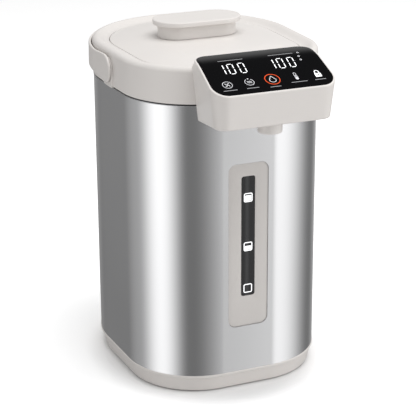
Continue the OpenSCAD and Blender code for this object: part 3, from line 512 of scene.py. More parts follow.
def hinge_boss(top):
    """The boss under the handle's right end with its tongue: one rounded outline, drawn outwards in x."""
    r, c, z = top.boss_radius, -top.pivot_reach, top.pivot_z
    left, right = -top.tongue_centre - top.tongue_half, -top.tongue_centre + top.tongue_half
    outline = round_corners([(left, top.tongue_low), (right, top.tongue_low), (c + r, z - 4 * MM),
                             (c + r, z + r), (c - r, z + r)],
                            [1.5 * MM, 1.5 * MM, 6 * MM, r * 0.999, r * 0.999], steps=10)
    points, faces = slab(outline, top.boss_face - 9 * MM, top.boss_face, 0, 0.6 * MM)
    return np.column_stack([points[:, 2], points[:, 0] + AXIS_Y, points[:, 1]]), faces


def base_skirt(body):
    """The tapered ring under the steel, a closed rounded section carried round the outline."""
    low, high = BASE_LOW[2], BASE_HIGH[2]
    section = round_corners([(-8.5 * MM, low), (-body.base_taper, low), (-1.2 * MM, high - 3.2 * MM),
                             (0.4 * MM, high - 2.2 * MM), (0.4 * MM, high), (-2.9 * MM, high),
                             (-6 * MM, low + 6 * MM), (-8.5 * MM, low + 5 * MM)],
                            [0.4 * MM, 1.6 * MM, 2.5 * MM, 0.4 * MM, 0.45 * MM, 0.3 * MM, 1 * MM, 1 * MM])
    return loft(rings(plan_columns(body), section), close_rows=True)


def crown_height(body, inset):
    """Height of the lid's top over an inset: a quarter sine that ends level on the plateau."""
    part = np.clip((inset - body.lid_inset) / (body.plateau - body.lid_inset), 0, 1)
    return body.lid_edge + body.crown * np.sin(part * math.pi / 2)


def lid_top(body):
    """The crowned cover: a rounded rim, the crown in rings, a hole under the grip, and the same inside."""
    columns = plan_columns(body)
    rim, low, high = body.lid_inset + body.lid_gap, 326 * MM, body.lid_edge
    insets = np.concatenate([[rim + 1.3 * MM, rim + 1.8 * MM], np.linspace(rim + 4 * MM, body.plateau, 16)])
    crown = [(-inset, crown_height(body, inset)) for inset in insets]
    edge = [(-rim - inset, crown_height(body, insets[0]) - 0.02 * MM - drop)
            for inset, drop in edge_steps(1.2 * MM, 6)]
    outside = [(-rim, low), (-rim, high - 2 * MM)] + edge + crown
    inside = [(-inset, crown_height(body, inset) - body.lid_wall) for inset in insets[:2:-3]]
    inside += [(-rim - body.lid_wall, high - 3.2 * MM), (-rim - body.lid_wall, low)]
    grip = (0, (STEM_LOW[1] + STEM_HIGH[1]) / 2 - AXIS_Y)
    level = crown_height(body, body.plateau)
    hole = [mouth_ring(columns, 15 * MM, z, grip) for z in (level, level - body.lid_wall)]
    return loft(rings(columns, outside) + hole + rings(columns, inside), close_rows=True)


def grip_part(low_corner, high_corner, low_edge, high_edge):
    """A stadium-shaped plate that fills a node's box."""
    half = (high_corner[0] - low_corner[0]) / 2, (high_corner[1] - low_corner[1]) / 2
    points, faces = slab(stadium(*half), low_corner[2], high_corner[2], low_edge, high_edge, steps=7)
    return points + [0, (low_corner[1] + high_corner[1]) / 2, 0], faces


# The head: every row of its side is y, then a height that follows y, then x, which follows both

SIDE_SHARES = np.linspace(-1, 1, 33)


def head_front():
    """Depth of the head's front, from the back's axis."""
    return HEAD_LOW[1] - AXIS_Y


def head_peak(head):
    """Height of the head's highest edge."""
    return head.front_z + math.tan(head.slope) * (-head.rear_reach - head_front() - head.roll / 2)


def head_top(body, head, y):
    """Height of the head's top at depth y: a slope that becomes level along a parabola over the roll, then
    half a cosine down to the collar. y is measured from the back's axis."""
    past = np.maximum(0, y + head.rear_reach + head.roll)
    panel = head.front_z + math.tan(head.slope) * (y - head_front() - past ** 2 / (2 * head.roll))
    low = body.lid_edge + 0.4 * MM
    part = np.clip((y + head.rear_reach) / (head.rear_reach - head.saddle_reach), 0, 1)
    saddle = low + (head_peak(head) - low) * (1 + np.cos(math.pi * part)) / 2
    return np.where(y < -head.rear_reach, panel, saddle)


def head_foot(body, head, y):
    """Height of the head's foot: level along the front, then falling along the sides to the body."""
    start = head_front() + head.corner
    return head.foot_z - head.skirt * np.maximum(0, y - start) / (-body.front_reach - start)


def head_wide(head, y, z):
    """Half width of the head at a depth and a height: its sides are planes."""
    up = (z - head.foot_z) / (head_peak(head) - head.foot_z)
    back = (y - head_front()) / (-head.rear_reach - head_front())
    return head.half_low + (head.half_high - head.half_low) * up - head.taper * back


def quarter_round(radius, steps=15):
    """A quarter round corner: how far each point lies inside the side and behind the front."""
    turn = np.linspace(0, math.pi / 2, steps)
    return radius * (1 - np.sin(turn)), radius * (1 - np.cos(turn))


def head_side(body, head, inset, part, height_of):
    """Right side of the head's plan drawn in by inset, from the front to the rear, as x, y and z. Part is 0
    at the foot and 1 at the panel: the front and its corners follow it. The rear corner is a quarter round
    about the panel's corner at the top, and runs out as the square of the way down to the fade's depth."""
    radius = head.corner_low + (head.corner - head.corner_low) * part - inset
    front = head_front() + head.draft * (1 - part) + inset
    aside, behind = quarter_round(radius)
    rear_radius = head.glass_corner + head.rim_side
    rear_aside, rear_before = (value[::-1] for value in quarter_round(rear_radius))
    straight = np.linspace(front + radius, -head.rear_reach - rear_radius, 30)[1:-1]
    saddle = np.linspace(0, 1, 25)[1:]
    y = np.concatenate([front + behind, straight, -head.rear_reach - rear_before,
                        -head.rear_reach + (head.rear_reach - head.saddle_reach - inset) * saddle])
    z = height_of(y)
    near_top = np.clip(1 - (head_top(body, head, y) - z) / head.corner_fade, 0, 1) ** 2
    rounded = np.concatenate([0 * aside, 0 * straight, rear_aside, rear_radius + 0 * saddle]) * near_top
    draw = np.concatenate([aside, 0 * straight, 0 * rear_aside, head.saddle_draw * saddle])
    return head_wide(head, y, z) - inset - np.maximum(draw, rounded), y, z


def panel_side(body, head, inset, lift):
    """Right side of the panel's plan drawn in by inset, at a lift over the head's top, as x, y and z."""
    front = head_front() + head.rim_front + inset
    rear = -head.rear_reach - head.rim_rear - inset
    aside, behind = quarter_round(head.corner - head.rim_front - inset)
    rear_aside, rear_before = (value[::-1] for value in quarter_round(head.glass_corner - inset))
    straight = np.linspace(front + behind[-1], rear - rear_before[0], 42)[1:-1]
    y = np.concatenate([front + behind, straight, rear - rear_before])
    z = head_top(body, head, y)
    draw = np.concatenate([aside, 0 * straight, rear_aside])
    return head_wide(head, y, z) - head.rim_side - inset - draw, y, z + lift


def head_loop(side):
    """A right side closed to a loop: down the right, along the front, up the left and along the rear."""
    x, y, z = side
    inner = SIDE_SHARES[1:-1, None]
    right = np.column_stack([x, y + AXIS_Y, z])
    left = right * [-1, 1, 1]
    front, rear = (right[0] * [1, 0, 0] * -inner + right[0] * [0, 1, 1],
                   right[-1] * [1, 0, 0] * inner + right[-1] * [0, 1, 1])
    return np.concatenate([right[::-1], front, left, rear])


def head_cap(side):
    """The surface across a right side and its mirror, in rows of equal depth."""
    x, y, z = (value[:, None] for value in side)
    across = np.broadcast_to(SIDE_SHARES, (len(x), len(SIDE_SHARES)))
    points = np.stack([x * across, y + AXIS_Y + 0 * across, z + 0 * across], axis=-1).reshape(-1, 3)
    return points, grid_faces(len(x), len(SIDE_SHARES))


def head_shell(body, head):
    """The hollow head: side rows with a rounded foot and rim, a cap, and the same inside at the wall's
    thickness. Where a side has run into the body, its foot ends inside the collar."""
    corner = np.array([body.corner_spread, body.corner_radius - body.front_reach])

    def foot(y):
        z = head_foot(body, head, y)
        beside = np.maximum(head_wide(head, y, z) - corner[0], 0)
        depth = np.hypot(beside, y - corner[1]) - body.corner_radius
        return np.where((depth > -1.5 * MM) & (y < -head.saddle_reach - 8 * MM), z, body.lid_edge - 2 * MM)

    def row(inset, part, lift, drop):
        return head_side(body, head, inset, part, lambda y: (foot(y) + lift) * (1 - part)
                         + (head_top(body, head, y) - drop) * part)

    rows = [row(head.wall, 0, 0, 0)]
    rows += [row(inset, 0, drop, 0) for inset, drop in edge_steps(head.foot_edge, 5)[::-1]]
    rows += [row(0, part, head.foot_edge, head.edge)
             for part in (0.03, 0.3, 0.6, 0.78, 0.82, 0.86, 0.9, 0.94, 0.97)]
    rows += [row(inset, 1, 0, drop) for inset, drop in edge_steps(head.edge, 6)]
    inner = row(head.wall, 1, 0, head.wall + 0.8 * MM)
    return joined(loft([head_loop(side) for side in (inner, *rows)]), head_cap(rows[-1]), head_cap(inner))


def panel_glass(body, head):
    """The black panel: a slab on the head's top with a rounded edge."""
    rows = [panel_side(body, head, inset, head.glass_proud - drop)
            for inset, drop in [(0, head.glass), *edge_steps(head.glass_edge, 5)]]
    return joined(loft([head_loop(row) for row in rows]), head_cap(rows[-1]), head_cap(rows[0]))


# Marks lie on the panel or the sight window: outlines in the plane, in millimetres, as thin closed slabs
# that reach from under the surface to a little over it
MARK_SINK = 0.12
MARK_LIFT = 0.05


def bar(x, v, width, high):
    """A bar with pointed ends, as one lit segment or a caption."""
    long, thick = max(width, high) / 2, min(width, high) / 2
    outline = np.array([(-long, 0), (-long + thick, -thick), (long - thick, -thick), (long, 0),
                        (long - thick, thick), (-long + thick, thick)])
    if high > width:
        outline = outline[:, ::-1] * [-1, 1]
    return outline + [x, v]


def disc(x, v, radius, points=24):
    """A round dot."""
    return arc((x, v), radius, 0, 2 * math.pi, points + 1)[0][:-1]


def trace(path, width, closed=False):
    """A line of even width along a path: at each point half the width to either side, square to the mean of
    its two neighbours' directions."""
    path = np.asarray(path, dtype=float)
    along = np.roll(path, -1, axis=0) - np.roll(path, 1, axis=0)
    if not closed:
        along[0], along[-1] = path[1] - path[0], path[-1] - path[-2]
    square = np.column_stack([-along[:, 1], along[:, 0]])
    square *= width / 2 / np.linalg.norm(square, axis=1, keepdims=True)
    return np.stack([path - square, path + square]), closed


def mark_patch(shape, surface):
    """A thin closed slab from an outline, or from a trace, carried onto a surface of (x, v, lift)."""
    if isinstance(shape, tuple):
        (right, left), closed = shape
        rows = [surface(right, MARK_LIFT), surface(left, MARK_LIFT),
                surface(left, -MARK_SINK), surface(right, -MARK_SINK)]
        points, faces = loft(rows, close_rows=True, close_columns=closed)
        if not closed:
            count = len(right)
            ends = np.array([[0, count, 2 * count, 3 * count]])
            faces = np.concatenate([faces, ends, ends[:, ::-1] + count - 1])
        return points, faces
    middle = np.tile(shape.mean(axis=0), (len(shape), 1))
    return loft([surface(middle, -MARK_SINK), surface(shape, -MARK_SINK),
                 surface(shape, MARK_LIFT), surface(middle, MARK_LIFT)])


def mark_piece(name, shapes, surface, finish):
    """All marks of one colour as one piece."""
    patches = [mark_patch(shape, surface) for shape in shapes]
    return new_piece(name, joined(*patches), finish, "pot")


def on_panel(body, head):
    """Carries (x, v) in millimetres, v up the slope from the head's front edge, onto the panel's top."""
    def surface(outline, lift):
        y = head_front() + outline[:, 1] * MM * math.cos(head.slope)
        height = head_top(body, head, y) + head.glass_proud + lift * MM
        return np.column_stack([outline[:, 0] * MM, y + AXIS_Y, height])
    return surface


def on_sight():
    """Carries (x, z) in millimetres onto the face of the sight window."""
    def surface(outline, lift):
        return np.column_stack([outline[:, 0] * MM, np.full(len(outline), SIGHT_LOW[1] - lift * MM),
                                outline[:, 1] * MM])
    return surface


def lit_digits():
    """Two readings of 100 in lit segments: for each digit, bars at the sides and ends of its cell."""
    thick, half_width, half_high, pitch, lean = 0.9, 2.85, 7.4, 11.15, 0.05
    one_aside, joint = 7.2, 1.3
    shapes = []
    for start, v in ((-32.8, 39.6), (18.9, 40.2)):
        for k in (0, 1):
            x = start + pitch * k
            for side in (-1, 1):
                shapes.append(bar(x, v + side * half_high, 2 * half_width - joint, thick))
                shapes += [bar(x + side * half_width, v + up * half_high / 2, thick, half_high - joint)
                           for up in (-1, 1)]
        shapes += [bar(start - one_aside, v + up * half_high / 2, thick, half_high - joint)
                   for up in (-1, 1)]
        for shape in shapes[-14:]:
            shape[:, 0] += lean * (shape[:, 1] - v)
    return shapes


def key_marks():
    """Marks of the touch keys: a fan, a kettle's steam, a drop, a thermometer and a padlock."""
    line = 0.5
    fan_x, fan_v = -45.8, 17.2
    fan = trace(disc(fan_x, fan_v, 4.7, 48), line, True)
    blades = [trace([(fan_x + out * c - aside * s, fan_v + out * s + aside * c)
                     for out, aside in ((0.4, 0), (1.8, 0.6), (2.9, -0.3))], 0.75)
              for c, s in arc((0, 0), 1, math.pi / 4, 7 * math.pi / 4, 4)[1]]
    bowl_x, bowl_v = -23.1, 17.8
    bowl = trace(arc((bowl_x, bowl_v), 4.5, math.radians(118), math.radians(422), 40)[0], line)
    wave = np.linspace(-2.4, 2.4, 15)
    steam = [trace(np.column_stack([bowl_x + wave, bowl_v + up + 0.6 * np.sin(wave * 2.4)]), line)
             for up in (-0.9, 0.9)]
    spark = disc(bowl_x, bowl_v + 4.9, 0.7)
    drop_x, drop_v = 0.6, 17.2
    swell = np.linspace(-math.pi * 0.5, math.pi * 1.5, 41)[:-1]
    pull = 1 - 0.42 * np.maximum(0, np.sin(swell)) ** 1.5
    drop = trace(np.column_stack([drop_x + 3.3 * np.cos(swell) * pull,
                                  drop_v + 3.3 * np.sin(swell) + 2.2 * np.maximum(0, np.sin(swell)) ** 4]),
                 0.6, True)
    tube_x, tube_v, tube_half = 25.3, 18.0, 1.15
    tube = trace(np.concatenate([[(tube_x + tube_half, tube_v - 1.8)],
                                 arc((tube_x, tube_v + 4.8), tube_half, 0, math.pi, 9)[0],
                                 [(tube_x - tube_half, tube_v - 1.8)]]), line)
    bulb = [disc(tube_x, tube_v - 2.6, 1.7), bar(tube_x, tube_v + 0.4, 0.7, 4.2)]
    lock_x, lock_low, lock_high, lock_half, keyhole, bow = 48.1, 14.3, 19.7, 3.2, 0.9, 2.0
    shackle = trace(np.concatenate([[(lock_x + bow, lock_high - 0.4)],
                                    arc((lock_x, lock_high + bow), bow, 0, math.pi, 19)[0],
                                    [(lock_x - bow, lock_high - 0.4)]]), 0.8)
    lock = rounded_rectangle(lock_half, lock_low, lock_high, 0.5, 3, 6)
    middle = (lock_low + lock_high) / 2
    hole = arc((0, middle), keyhole, 0, 2 * math.pi, len(lock) + 1)[0][:-1]
    start = np.argmin(np.abs(np.arctan2(lock[:, 1] - middle, lock[:, 0])))
    lock_plate = (np.stack([np.roll(lock, -start, axis=0), hole]) + [lock_x, 0], True)
    small = [trace(disc(x, v, 0.9, 12), line, True) for x, v in ((43.2, 55.0), (41.3, 48.1), (40.9, 42.2))]
    return [fan, *blades, bowl, *steam, spark, drop, tube, *bulb, *small], [shackle, lock_plate]


def caption_bars():
    """Plain short bars under the keys and over the readings."""
    under_keys = ((-45.9, 8.9, 14.0), (-23.0, 9.0, 12.6), (-0.4, 7.3, 11.4), (25.5, 10.3, 17.0),
                  (47.7, 10.4, 11.6))
    over_readings = (-28.3, 54.0, 26.0), (24.6, 54.9, 26.6)
    return [bar(x, v, width, 0.7) for x, v, width in under_keys + over_readings]


def water_ring():
    """The ring round the water key."""
    return [trace(disc(0.6, 18.2, 7.35, 64), 0.75, True)]


def level_marks(window):
    """Three square marks: each a rounded frame, and a filling that shows more of it the higher it stands."""
    half, line = window.mark_side / 2 / MM, window.mark_line / MM
    shapes = []
    for height, fill in ((207.3, 0.86), (155.2, 0.62), (109.9, 0.0)):
        middle = half - line / 2
        outline = rounded_rectangle(middle, height - middle, height + middle, 1.3, 6, 2)
        shapes.append(trace(outline, line, True))
        if fill:
            inside = half - line - 0.45
            low = height - inside
            shapes.append(rounded_rectangle(inside, low, low + 2 * inside * fill, 0.5, 4, 2))
    return shapes


def window_plate(window):
    """The cream plate in the steel's opening: one closed section carried round between the plate's outline
    and the sight window's, with a flange behind the steel."""
    gap, flange = window.gap, window.flange
    half, low, high = FRAME_HIGH[0] - flange, FRAME_LOW[2] + flange, FRAME_HIGH[2] - flange
    outer = rounded_rectangle(half - gap, low + gap, high - gap, window.corner - gap)
    back = rounded_rectangle(half + flange, low - flange, high + flange, window.corner + flange)
    sight = rounded_rectangle(SIGHT_HIGH[0] + 0.05 * MM, SIGHT_LOW[2] - 0.05 * MM, SIGHT_HIGH[2] + 0.05 * MM,
                              window.sight_corner)
    front_y, flange_y, rear_y = FRAME_LOW[1], FRAME_LOW[1] + 0.35 * MM, FRAME_HIGH[1]

    def row(outline, grow, y):
        place = outline + grow * outward(outline)
        return np.column_stack([place[:, 0], np.full(len(place), y), place[:, 1]])

    edge = edge_steps(window.edge, 4)
    rows = [row(sight, 0, rear_y), row(sight, 0, front_y + window.edge)]
    rows += [row(sight, inset, front_y + drop) for inset, drop in edge]
    rows += [row(outer, -inset, front_y + drop) for inset, drop in edge[::-1]]
    rows += [row(outer, 0, flange_y), row(back, 0, flange_y), row(back, 0, rear_y)]
    return loft(rows, close_rows=True)


def sight_glass(window):
    """The dark pane of the level window."""
    outline = rounded_rectangle(SIGHT_HIGH[0], SIGHT_LOW[2], SIGHT_HIGH[2], window.sight_corner)
    points, faces = slab(outline, -SIGHT_HIGH[1], -SIGHT_LOW[1], 0.1 * MM, 0.3 * MM)
    return np.column_stack([points[:, 0], -points[:, 2], points[:, 1]]), faces


def strap_handle(top):
    """The strap, first flat and then bent: its flat outline is two long edges that end in half circles, with
    an edge rounding on both faces; the bend carries length s along the straight sides and round the back, and
    the strap is then tilted about its pivots."""
    outer = top.strap_out
    arc_half = math.pi / 2 * outer
    centre = arc_half + top.pivot_reach
    half_width, pad = top.strap_width / 2, top.pad_radius

    def edges(inset):
        """s and half width of the upper edge, drawn in by inset: half circle, half a cosine, strap."""
        swing = np.linspace(0, math.pi / 2, 25)
        tip = centre + (pad - inset) * np.cos(swing)
        tip_half = (pad - inset) * np.sin(swing)
        neck = np.linspace(centre, centre - top.neck, 24)[1:]
        blend = 0.5 - 0.5 * np.cos(math.pi * (centre - neck) / top.neck)
        neck_half = pad - inset + (half_width - pad) * blend
        run = np.linspace(neck[-1], -neck[-1], 170)[1:-1]
        s = np.concatenate([tip, neck, run, -neck[::-1], -tip[::-1]])
        half = np.concatenate([tip_half, neck_half, np.full(len(run), half_width - inset),
                               neck_half[::-1], tip_half[::-1]])
        return s, half

    def bend(s, z, depth):
        turn = np.clip(s, -arc_half, arc_half) / outer
        beyond = np.abs(s) - np.minimum(np.abs(s), arc_half)
        radius = outer - depth
        x = -radius * np.sin(turn)
        behind = radius * np.cos(turn) - beyond + top.pivot_reach
        y = behind * math.cos(top.strap_tilt) - z * math.sin(top.strap_tilt) - top.pivot_reach
        height = behind * math.sin(top.strap_tilt) + z * math.cos(top.strap_tilt) + top.pivot_z
        return np.column_stack([x, y + AXIS_Y, height])

    def loop(inset, depth):
        s, half = edges(inset)
        return np.concatenate([bend(s, half, depth), bend(s[::-1], -half[::-1], depth)])

    def face(inset, depth):
        s, half = edges(inset)
        shares = np.linspace(1, -1, 9)
        points = [bend(s, half * part, depth) for part in shares]
        return loft(points, close_columns=False)

    edge = edge_steps(top.strap_edge, 5)
    rows = [loop(inset, drop) for inset, drop in edge[::-1]]
    rows += [loop(inset, top.strap_thick - drop) for inset, drop in edge]
    return joined(face(edge[-1][0], 0), loft(rows), face(edge[-1][0], top.strap_thick))


def nozzle_cup():
    """The spout's nozzle: a closed section turned about its axis, with a wide cup and a narrow bore."""
    radius, low, high = NOZZLE_HIGH[0], NOZZLE_LOW[2], NOZZLE_HIGH[2]
    lip, cup, bore = 1.8 * MM, 8 * MM, 5 * MM
    section = round_corners([(radius, high), (bore, high), (bore, low + cup), (radius - lip, low + cup),
                             (radius - lip, low), (radius, low)],
                            [0, 0, 0.4 * MM, 1.2 * MM, 0.5 * MM, 1.0 * MM])
    directions = arc((0, 0), 1, 0, 2 * math.pi, 97)[1][:-1]
    centre_y = (NOZZLE_LOW[1] + NOZZLE_HIGH[1]) / 2
    rows = [np.column_stack([r * directions[:, 0], r * directions[:, 1] + centre_y, np.full(96, z)])
            for r, z in section]
    return loft(rows, close_rows=True)


# Finishes --------------------------------------------------------------------------------------

def add_node(tree, kind, inputs=None, **settings):
    """A node with its settings and inputs; an input is a value or the socket that feeds it."""
    made = tree.nodes.new(kind)
    for name, value in settings.items():
        setattr(made, name, value)
    for name, value in (inputs or {}).items():
        if isinstance(value, bpy.types.NodeSocket):
            tree.links.new(value, made.inputs[name])
        else:
            made.inputs[name].default_value = value
    return made


def math_node(tree, operation, *values):
    """The result of one calculation."""
    return add_node(tree, "ShaderNodeMath", dict(enumerate(values)), operation=operation).outputs[0]


def ramp(tree, value, low, high, first, last, kind="LINEAR"):
    """A value carried from the range low to high onto the range first to last."""
    return add_node(tree, "ShaderNodeMapRange",
                    {"Value": value, "From Min": low, "From Max": high, "To Min": first, "To Max": last},
                    interpolation_type=kind).outputs["Result"]


def new_group(name, inputs, outputs):
    """An empty node group with its sockets, and its two end nodes."""
    group = bpy.data.node_groups.new(name, "ShaderNodeTree")
    for socket, default in inputs.items():
        group.interface.new_socket(name=socket, in_out="INPUT",
                                   socket_type="NodeSocketFloat").default_value = default
    for socket in outputs:
        group.interface.new_socket(name=socket, in_out="OUTPUT", socket_type="NodeSocketFloat")
    return group, add_node(group, "NodeGroupInput"), add_node(group, "NodeGroupOutput")


def stretched_noise(tree, vector, scale, detail=2.0):
    """Noise in the object's own space, stretched by a scale along each axis."""
    mapped = add_node(tree, "ShaderNodeMapping", {"Vector": vector, "Scale": scale})
    return add_node(tree, "ShaderNodeTexNoise", {"Vector": mapped.outputs[0], "Scale": 1.0, "Detail": detail})


def finish_group(name, fine, broad, detail):
    """Shade, roughness and height from a fine noise and a broad one. Both take their stretch from scales per
    metre along x, y and z."""
    group, entry, leave = new_group(name, {"Roughness": 0.4, "Spread": 0.05},
                                    ("Shade", "Roughness", "Height"))
    place = add_node(group, "ShaderNodeTexCoord").outputs["Object"]
    grain = stretched_noise(group, place, fine, detail).outputs["Fac"]
    cloud = stretched_noise(group, place, broad, 1.0).outputs["Fac"]
    both = math_node(group, "MULTIPLY_ADD", cloud, 0.6, math_node(group, "MULTIPLY", grain, 0.4))
    centred = math_node(group, "SUBTRACT", both, 0.5)
    rough = math_node(group, "MULTIPLY_ADD", centred, entry.outputs["Spread"], entry.outputs["Roughness"])
    group.links.new(both, leave.inputs["Shade"])
    group.links.new(rough, leave.inputs["Roughness"])
    group.links.new(grain, leave.inputs["Height"])
    return group


def surface_finish(name, group, light, deep, roughness, spread, bump, metallic=0.0, **constants):
    """A material whose colour runs between two tones by the group's shade, with its roughness and bump."""
    finish = bpy.data.materials.new(name)
    finish.use_nodes = True
    tree = finish.node_tree
    shader = tree.nodes["Principled BSDF"]
    effect = add_node(tree, "ShaderNodeGroup", node_tree=group)
    effect.inputs["Roughness"].default_value = roughness
    effect.inputs["Spread"].default_value = spread
    tone = add_node(tree, "ShaderNodeMix", {"Factor": effect.outputs["Shade"]}, data_type="RGBA")
    tone.inputs["A"].default_value = (*deep, 1)
    tone.inputs["B"].default_value = (*light, 1)
    relief = add_node(tree, "ShaderNodeBump", {"Height": effect.outputs["Height"], "Strength": 1.0,
                                               "Distance": bump})
    tree.links.new(tone.outputs["Result"], shader.inputs["Base Color"])
    tree.links.new(effect.outputs["Roughness"], shader.inputs["Roughness"])
    tree.links.new(relief.outputs["Normal"], shader.inputs["Normal"])
    shader.inputs["Metallic"].default_value = metallic
    for socket, value in constants.items():
        shader.inputs[socket.replace("_", " ").title()].default_value = value
    finish.diffuse_color = (*light, 1)
    return finish


def scaled(tone, part):
    """A colour times a number."""
    return tuple(part * value for value in tone)


def mix_inputs(node):
    """The colour sockets A and B and the result of a Mix node."""
    return node.inputs[6], node.inputs[7], node.outputs[2]


def make_finishes(colours):
    """All finishes by name."""
    grain = finish_group("moulded_grain", (2600, 2600, 2600), (14, 14, 14), 2.0)
    lines = finish_group("brushed_lines", (24, 24, 5200), (9, 9, 9), 3.0)
    felt = finish_group("felt_fibres", (900, 900, 300), (40, 40, 40), 4.0)
    dark = scaled((0.022, 0.022, 0.024), 0.78)
    finishes = {
        "cream": surface_finish("cream_plastic", grain, colours.cream, colours.cream_deep, 0.36, 0.12,
                                0.012 * MM),
        # The window plate's cream, painted darker by 0.84: painted shade for the plate recessed in the steel
        "shaded_window_cream": surface_finish("shaded_window_plastic", grain, scaled(colours.cream, 0.84),
                                       scaled(colours.cream_deep, 0.84), 0.4, 0.12, 0.012 * MM),
        "steel_shell": surface_finish("brushed_shell", lines, colours.steel, colours.steel_deep, 0.22, 0.1,
                                      0.0015 * MM, 1.0, anisotropic=0.75, anisotropic_rotation=0.25),
        "steel": surface_finish("plain_steel", lines, (0.66, 0.66, 0.67), (0.58, 0.58, 0.6), 0.3, 0.12,
                                0.002 * MM, 1.0),
        "black_glass": surface_finish("panel_black", grain, colours.black, colours.black, 0.07, 0.04,
                                      0.0004 * MM),
        "rubber": surface_finish("foot_rubber", grain, (0.035, 0.035, 0.036), (0.02, 0.02, 0.021), 0.75, 0.2,
                                 0.04 * MM),
        "silicone": surface_finish("milky_silicone", grain, (0.72, 0.72, 0.69), (0.62, 0.62, 0.6), 0.5, 0.15,
                                   0.02 * MM),
        "dark_plastic": surface_finish("dark_plastic", grain, (0.03, 0.03, 0.032), dark, 0.5, 0.15,
                                       0.04 * MM),
        "pale_plastic": surface_finish("natural_plastic", grain, (0.70, 0.70, 0.67), (0.64, 0.64, 0.61),
                                       0.45, 0.1, 0.02 * MM),
        "insulation": surface_finish("felt", felt, (0.66, 0.58, 0.42), (0.5, 0.43, 0.3), 0.95, 0.05,
                                     0.3 * MM),
        "aluminium": surface_finish("cast_aluminium", grain, (0.55, 0.56, 0.57), (0.45, 0.46, 0.47), 0.45,
                                    0.2, 0.08 * MM, 1.0),
        "motor": surface_finish("zinc_coat", lines, (0.42, 0.43, 0.45), (0.34, 0.35, 0.37), 0.38, 0.15,
                                0.01 * MM, 1.0),
        "board": surface_finish("solder_mask", grain, (0.012, 0.11, 0.045), (0.01, 0.08, 0.035), 0.35, 0.1,
                                0.02 * MM),
        "smoked": smoked_finish(colours, grain),
        # On the printed marks, the key icons, the captions and the level marks, the glow is painted light
        "mark": glow_finish("glowing_mark", colours.mark, grain, 0.9),
        "key": glow_finish("key_mark", colours.key, grain, 0.9),
        "caption": glow_finish("caption_mark", colours.caption, grain, 0.9),
        "ring": glow_finish("ring_mark", colours.ring, grain, 1.0),
        "clear": clear_finish(grain),
    }
    shell = finishes["steel_shell"].node_tree
    tangent = add_node(shell, "ShaderNodeTangent", direction_type="RADIAL", axis="Z")
    shell.links.new(tangent.outputs[0], shell.nodes["Principled BSDF"].inputs["Tangent"])
    return finishes


def glow_finish(name, light, group, strength):
    """A glowing mark: its own colour shines, a little uneven across its face. The display's digits are lit;
    on printed marks the glow is painted light.
    """
    deep = scaled(light, 0.82)
    finish = surface_finish(name, group, light, deep, 0.4, 0.1, 0.002 * MM)
    shader = finish.node_tree.nodes["Principled BSDF"]
    tone = shader.inputs["Base Color"].links[0].from_socket
    finish.node_tree.links.new(tone, shader.inputs["Emission Color"])
    shader.inputs["Emission Strength"].default_value = strength
    return finish


def smoked_finish(colours, group):
    """The dark pane: a fine woven look, and a painted lighter upright streak that stands for the gauge tube
    seen through it.
    """
    finish = surface_finish("smoked_window", group, colours.smoked, colours.smoked, 0.12, 0.05, 0.0008 * MM)
    tree = finish.node_tree
    shader = tree.nodes["Principled BSDF"]
    place = add_node(tree, "ShaderNodeSeparateXYZ",
                     {"Vector": add_node(tree, "ShaderNodeTexCoord").outputs["Object"]})
    # Painted light: the pane is not clear, so the tube behind it is painted as a lighter streak
    aside = math_node(tree, "ABSOLUTE", math_node(tree, "ADD", place.outputs["X"], 1.2 * MM))
    streak = ramp(tree, aside, 0.2 * MM, 3.4 * MM, 1.0, 0.0, "SMOOTHSTEP")
    pitch = 0.9 * MM
    rows, threads = (math_node(tree, "SINE", math_node(tree, "MULTIPLY", place.outputs[axis],
                                                       2 * math.pi / pitch)) for axis in "ZX")
    weave = math_node(tree, "MULTIPLY_ADD", math_node(tree, "MULTIPLY", rows, threads), 0.25, 0.75)
    amount = math_node(tree, "MULTIPLY", streak, weave)
    tone = add_node(tree, "ShaderNodeMix", {"Factor": amount}, data_type="RGBA")
    first, second, result = mix_inputs(tone)
    first.default_value = (*colours.smoked, 1)
    second.default_value = (*colours.smoked_streak, 1)
    tree.links.new(result, shader.inputs["Base Color"])
    return finish


def clear_finish(group):
    """The clear gauge tube."""
    finish = surface_finish("clear_tube", group, (0.92, 0.96, 0.97), (0.88, 0.93, 0.95), 0.08, 0.05,
                            0.001 * MM)
    shader = finish.node_tree.nodes["Principled BSDF"]
    shader.inputs["Transmission Weight"].default_value = 1.0
    return finish


# Studio ----------------------------------------------------------------------------------------

# Tall light bands round the room that the steel mirrors: azimuth, width before it and width after it in
# degrees, and strength
BANDS = ((-166, 46, 45, 1.26), (150, 50, 50, 0.26), (84, 30, 30, 0.12), (52, 30, 30, 0.30),
         (-50, 66, 66, 0.50), (-60, 6, 84, 0.66))
BAND_BASE = 0.215
DARK_CEILING = 0.035
# The floor's tone for the camera: a painted shadow, deeper at the pot's foot and white from a short way off.
# The foot's outline is taken as an ellipse, which the mapping turns into a circle.
FOOT_SHIFT, FOOT_SCALE = (0, -10.5 * MM, 0), (1, 0.86, 1)
FOOT_REACH, WHITE_REACH = 95 * MM, 138 * MM
PAINTED_SHADOW_TONE, WHITE_TONE = 0.8, 1.3


def band_group():
    """One light band: the squared cosine of the turn from its centre, over the width on that side."""
    group, entry, leave = new_group("light_band", {"Azimuth": 0.0, "Centre": 0.0, "Before": 1.0, "After": 1.0,
                                                   "Strength": 1.0}, ("Light",))
    turn = math_node(group, "WRAP", math_node(group, "SUBTRACT", entry.outputs["Azimuth"],
                                              entry.outputs["Centre"]), math.pi, -math.pi)
    after = math_node(group, "DIVIDE", turn, entry.outputs["After"])
    before = math_node(group, "DIVIDE", math_node(group, "MULTIPLY", turn, -1.0), entry.outputs["Before"])
    part = math_node(group, "MINIMUM", math_node(group, "MAXIMUM", before, after), 1.0)
    cosine = math_node(group, "COSINE", math_node(group, "MULTIPLY", part, math.pi / 2))
    square = math_node(group, "MULTIPLY", cosine, cosine)
    light = math_node(group, "MULTIPLY", square, entry.outputs["Strength"])
    group.links.new(light, leave.inputs["Light"])
    return group


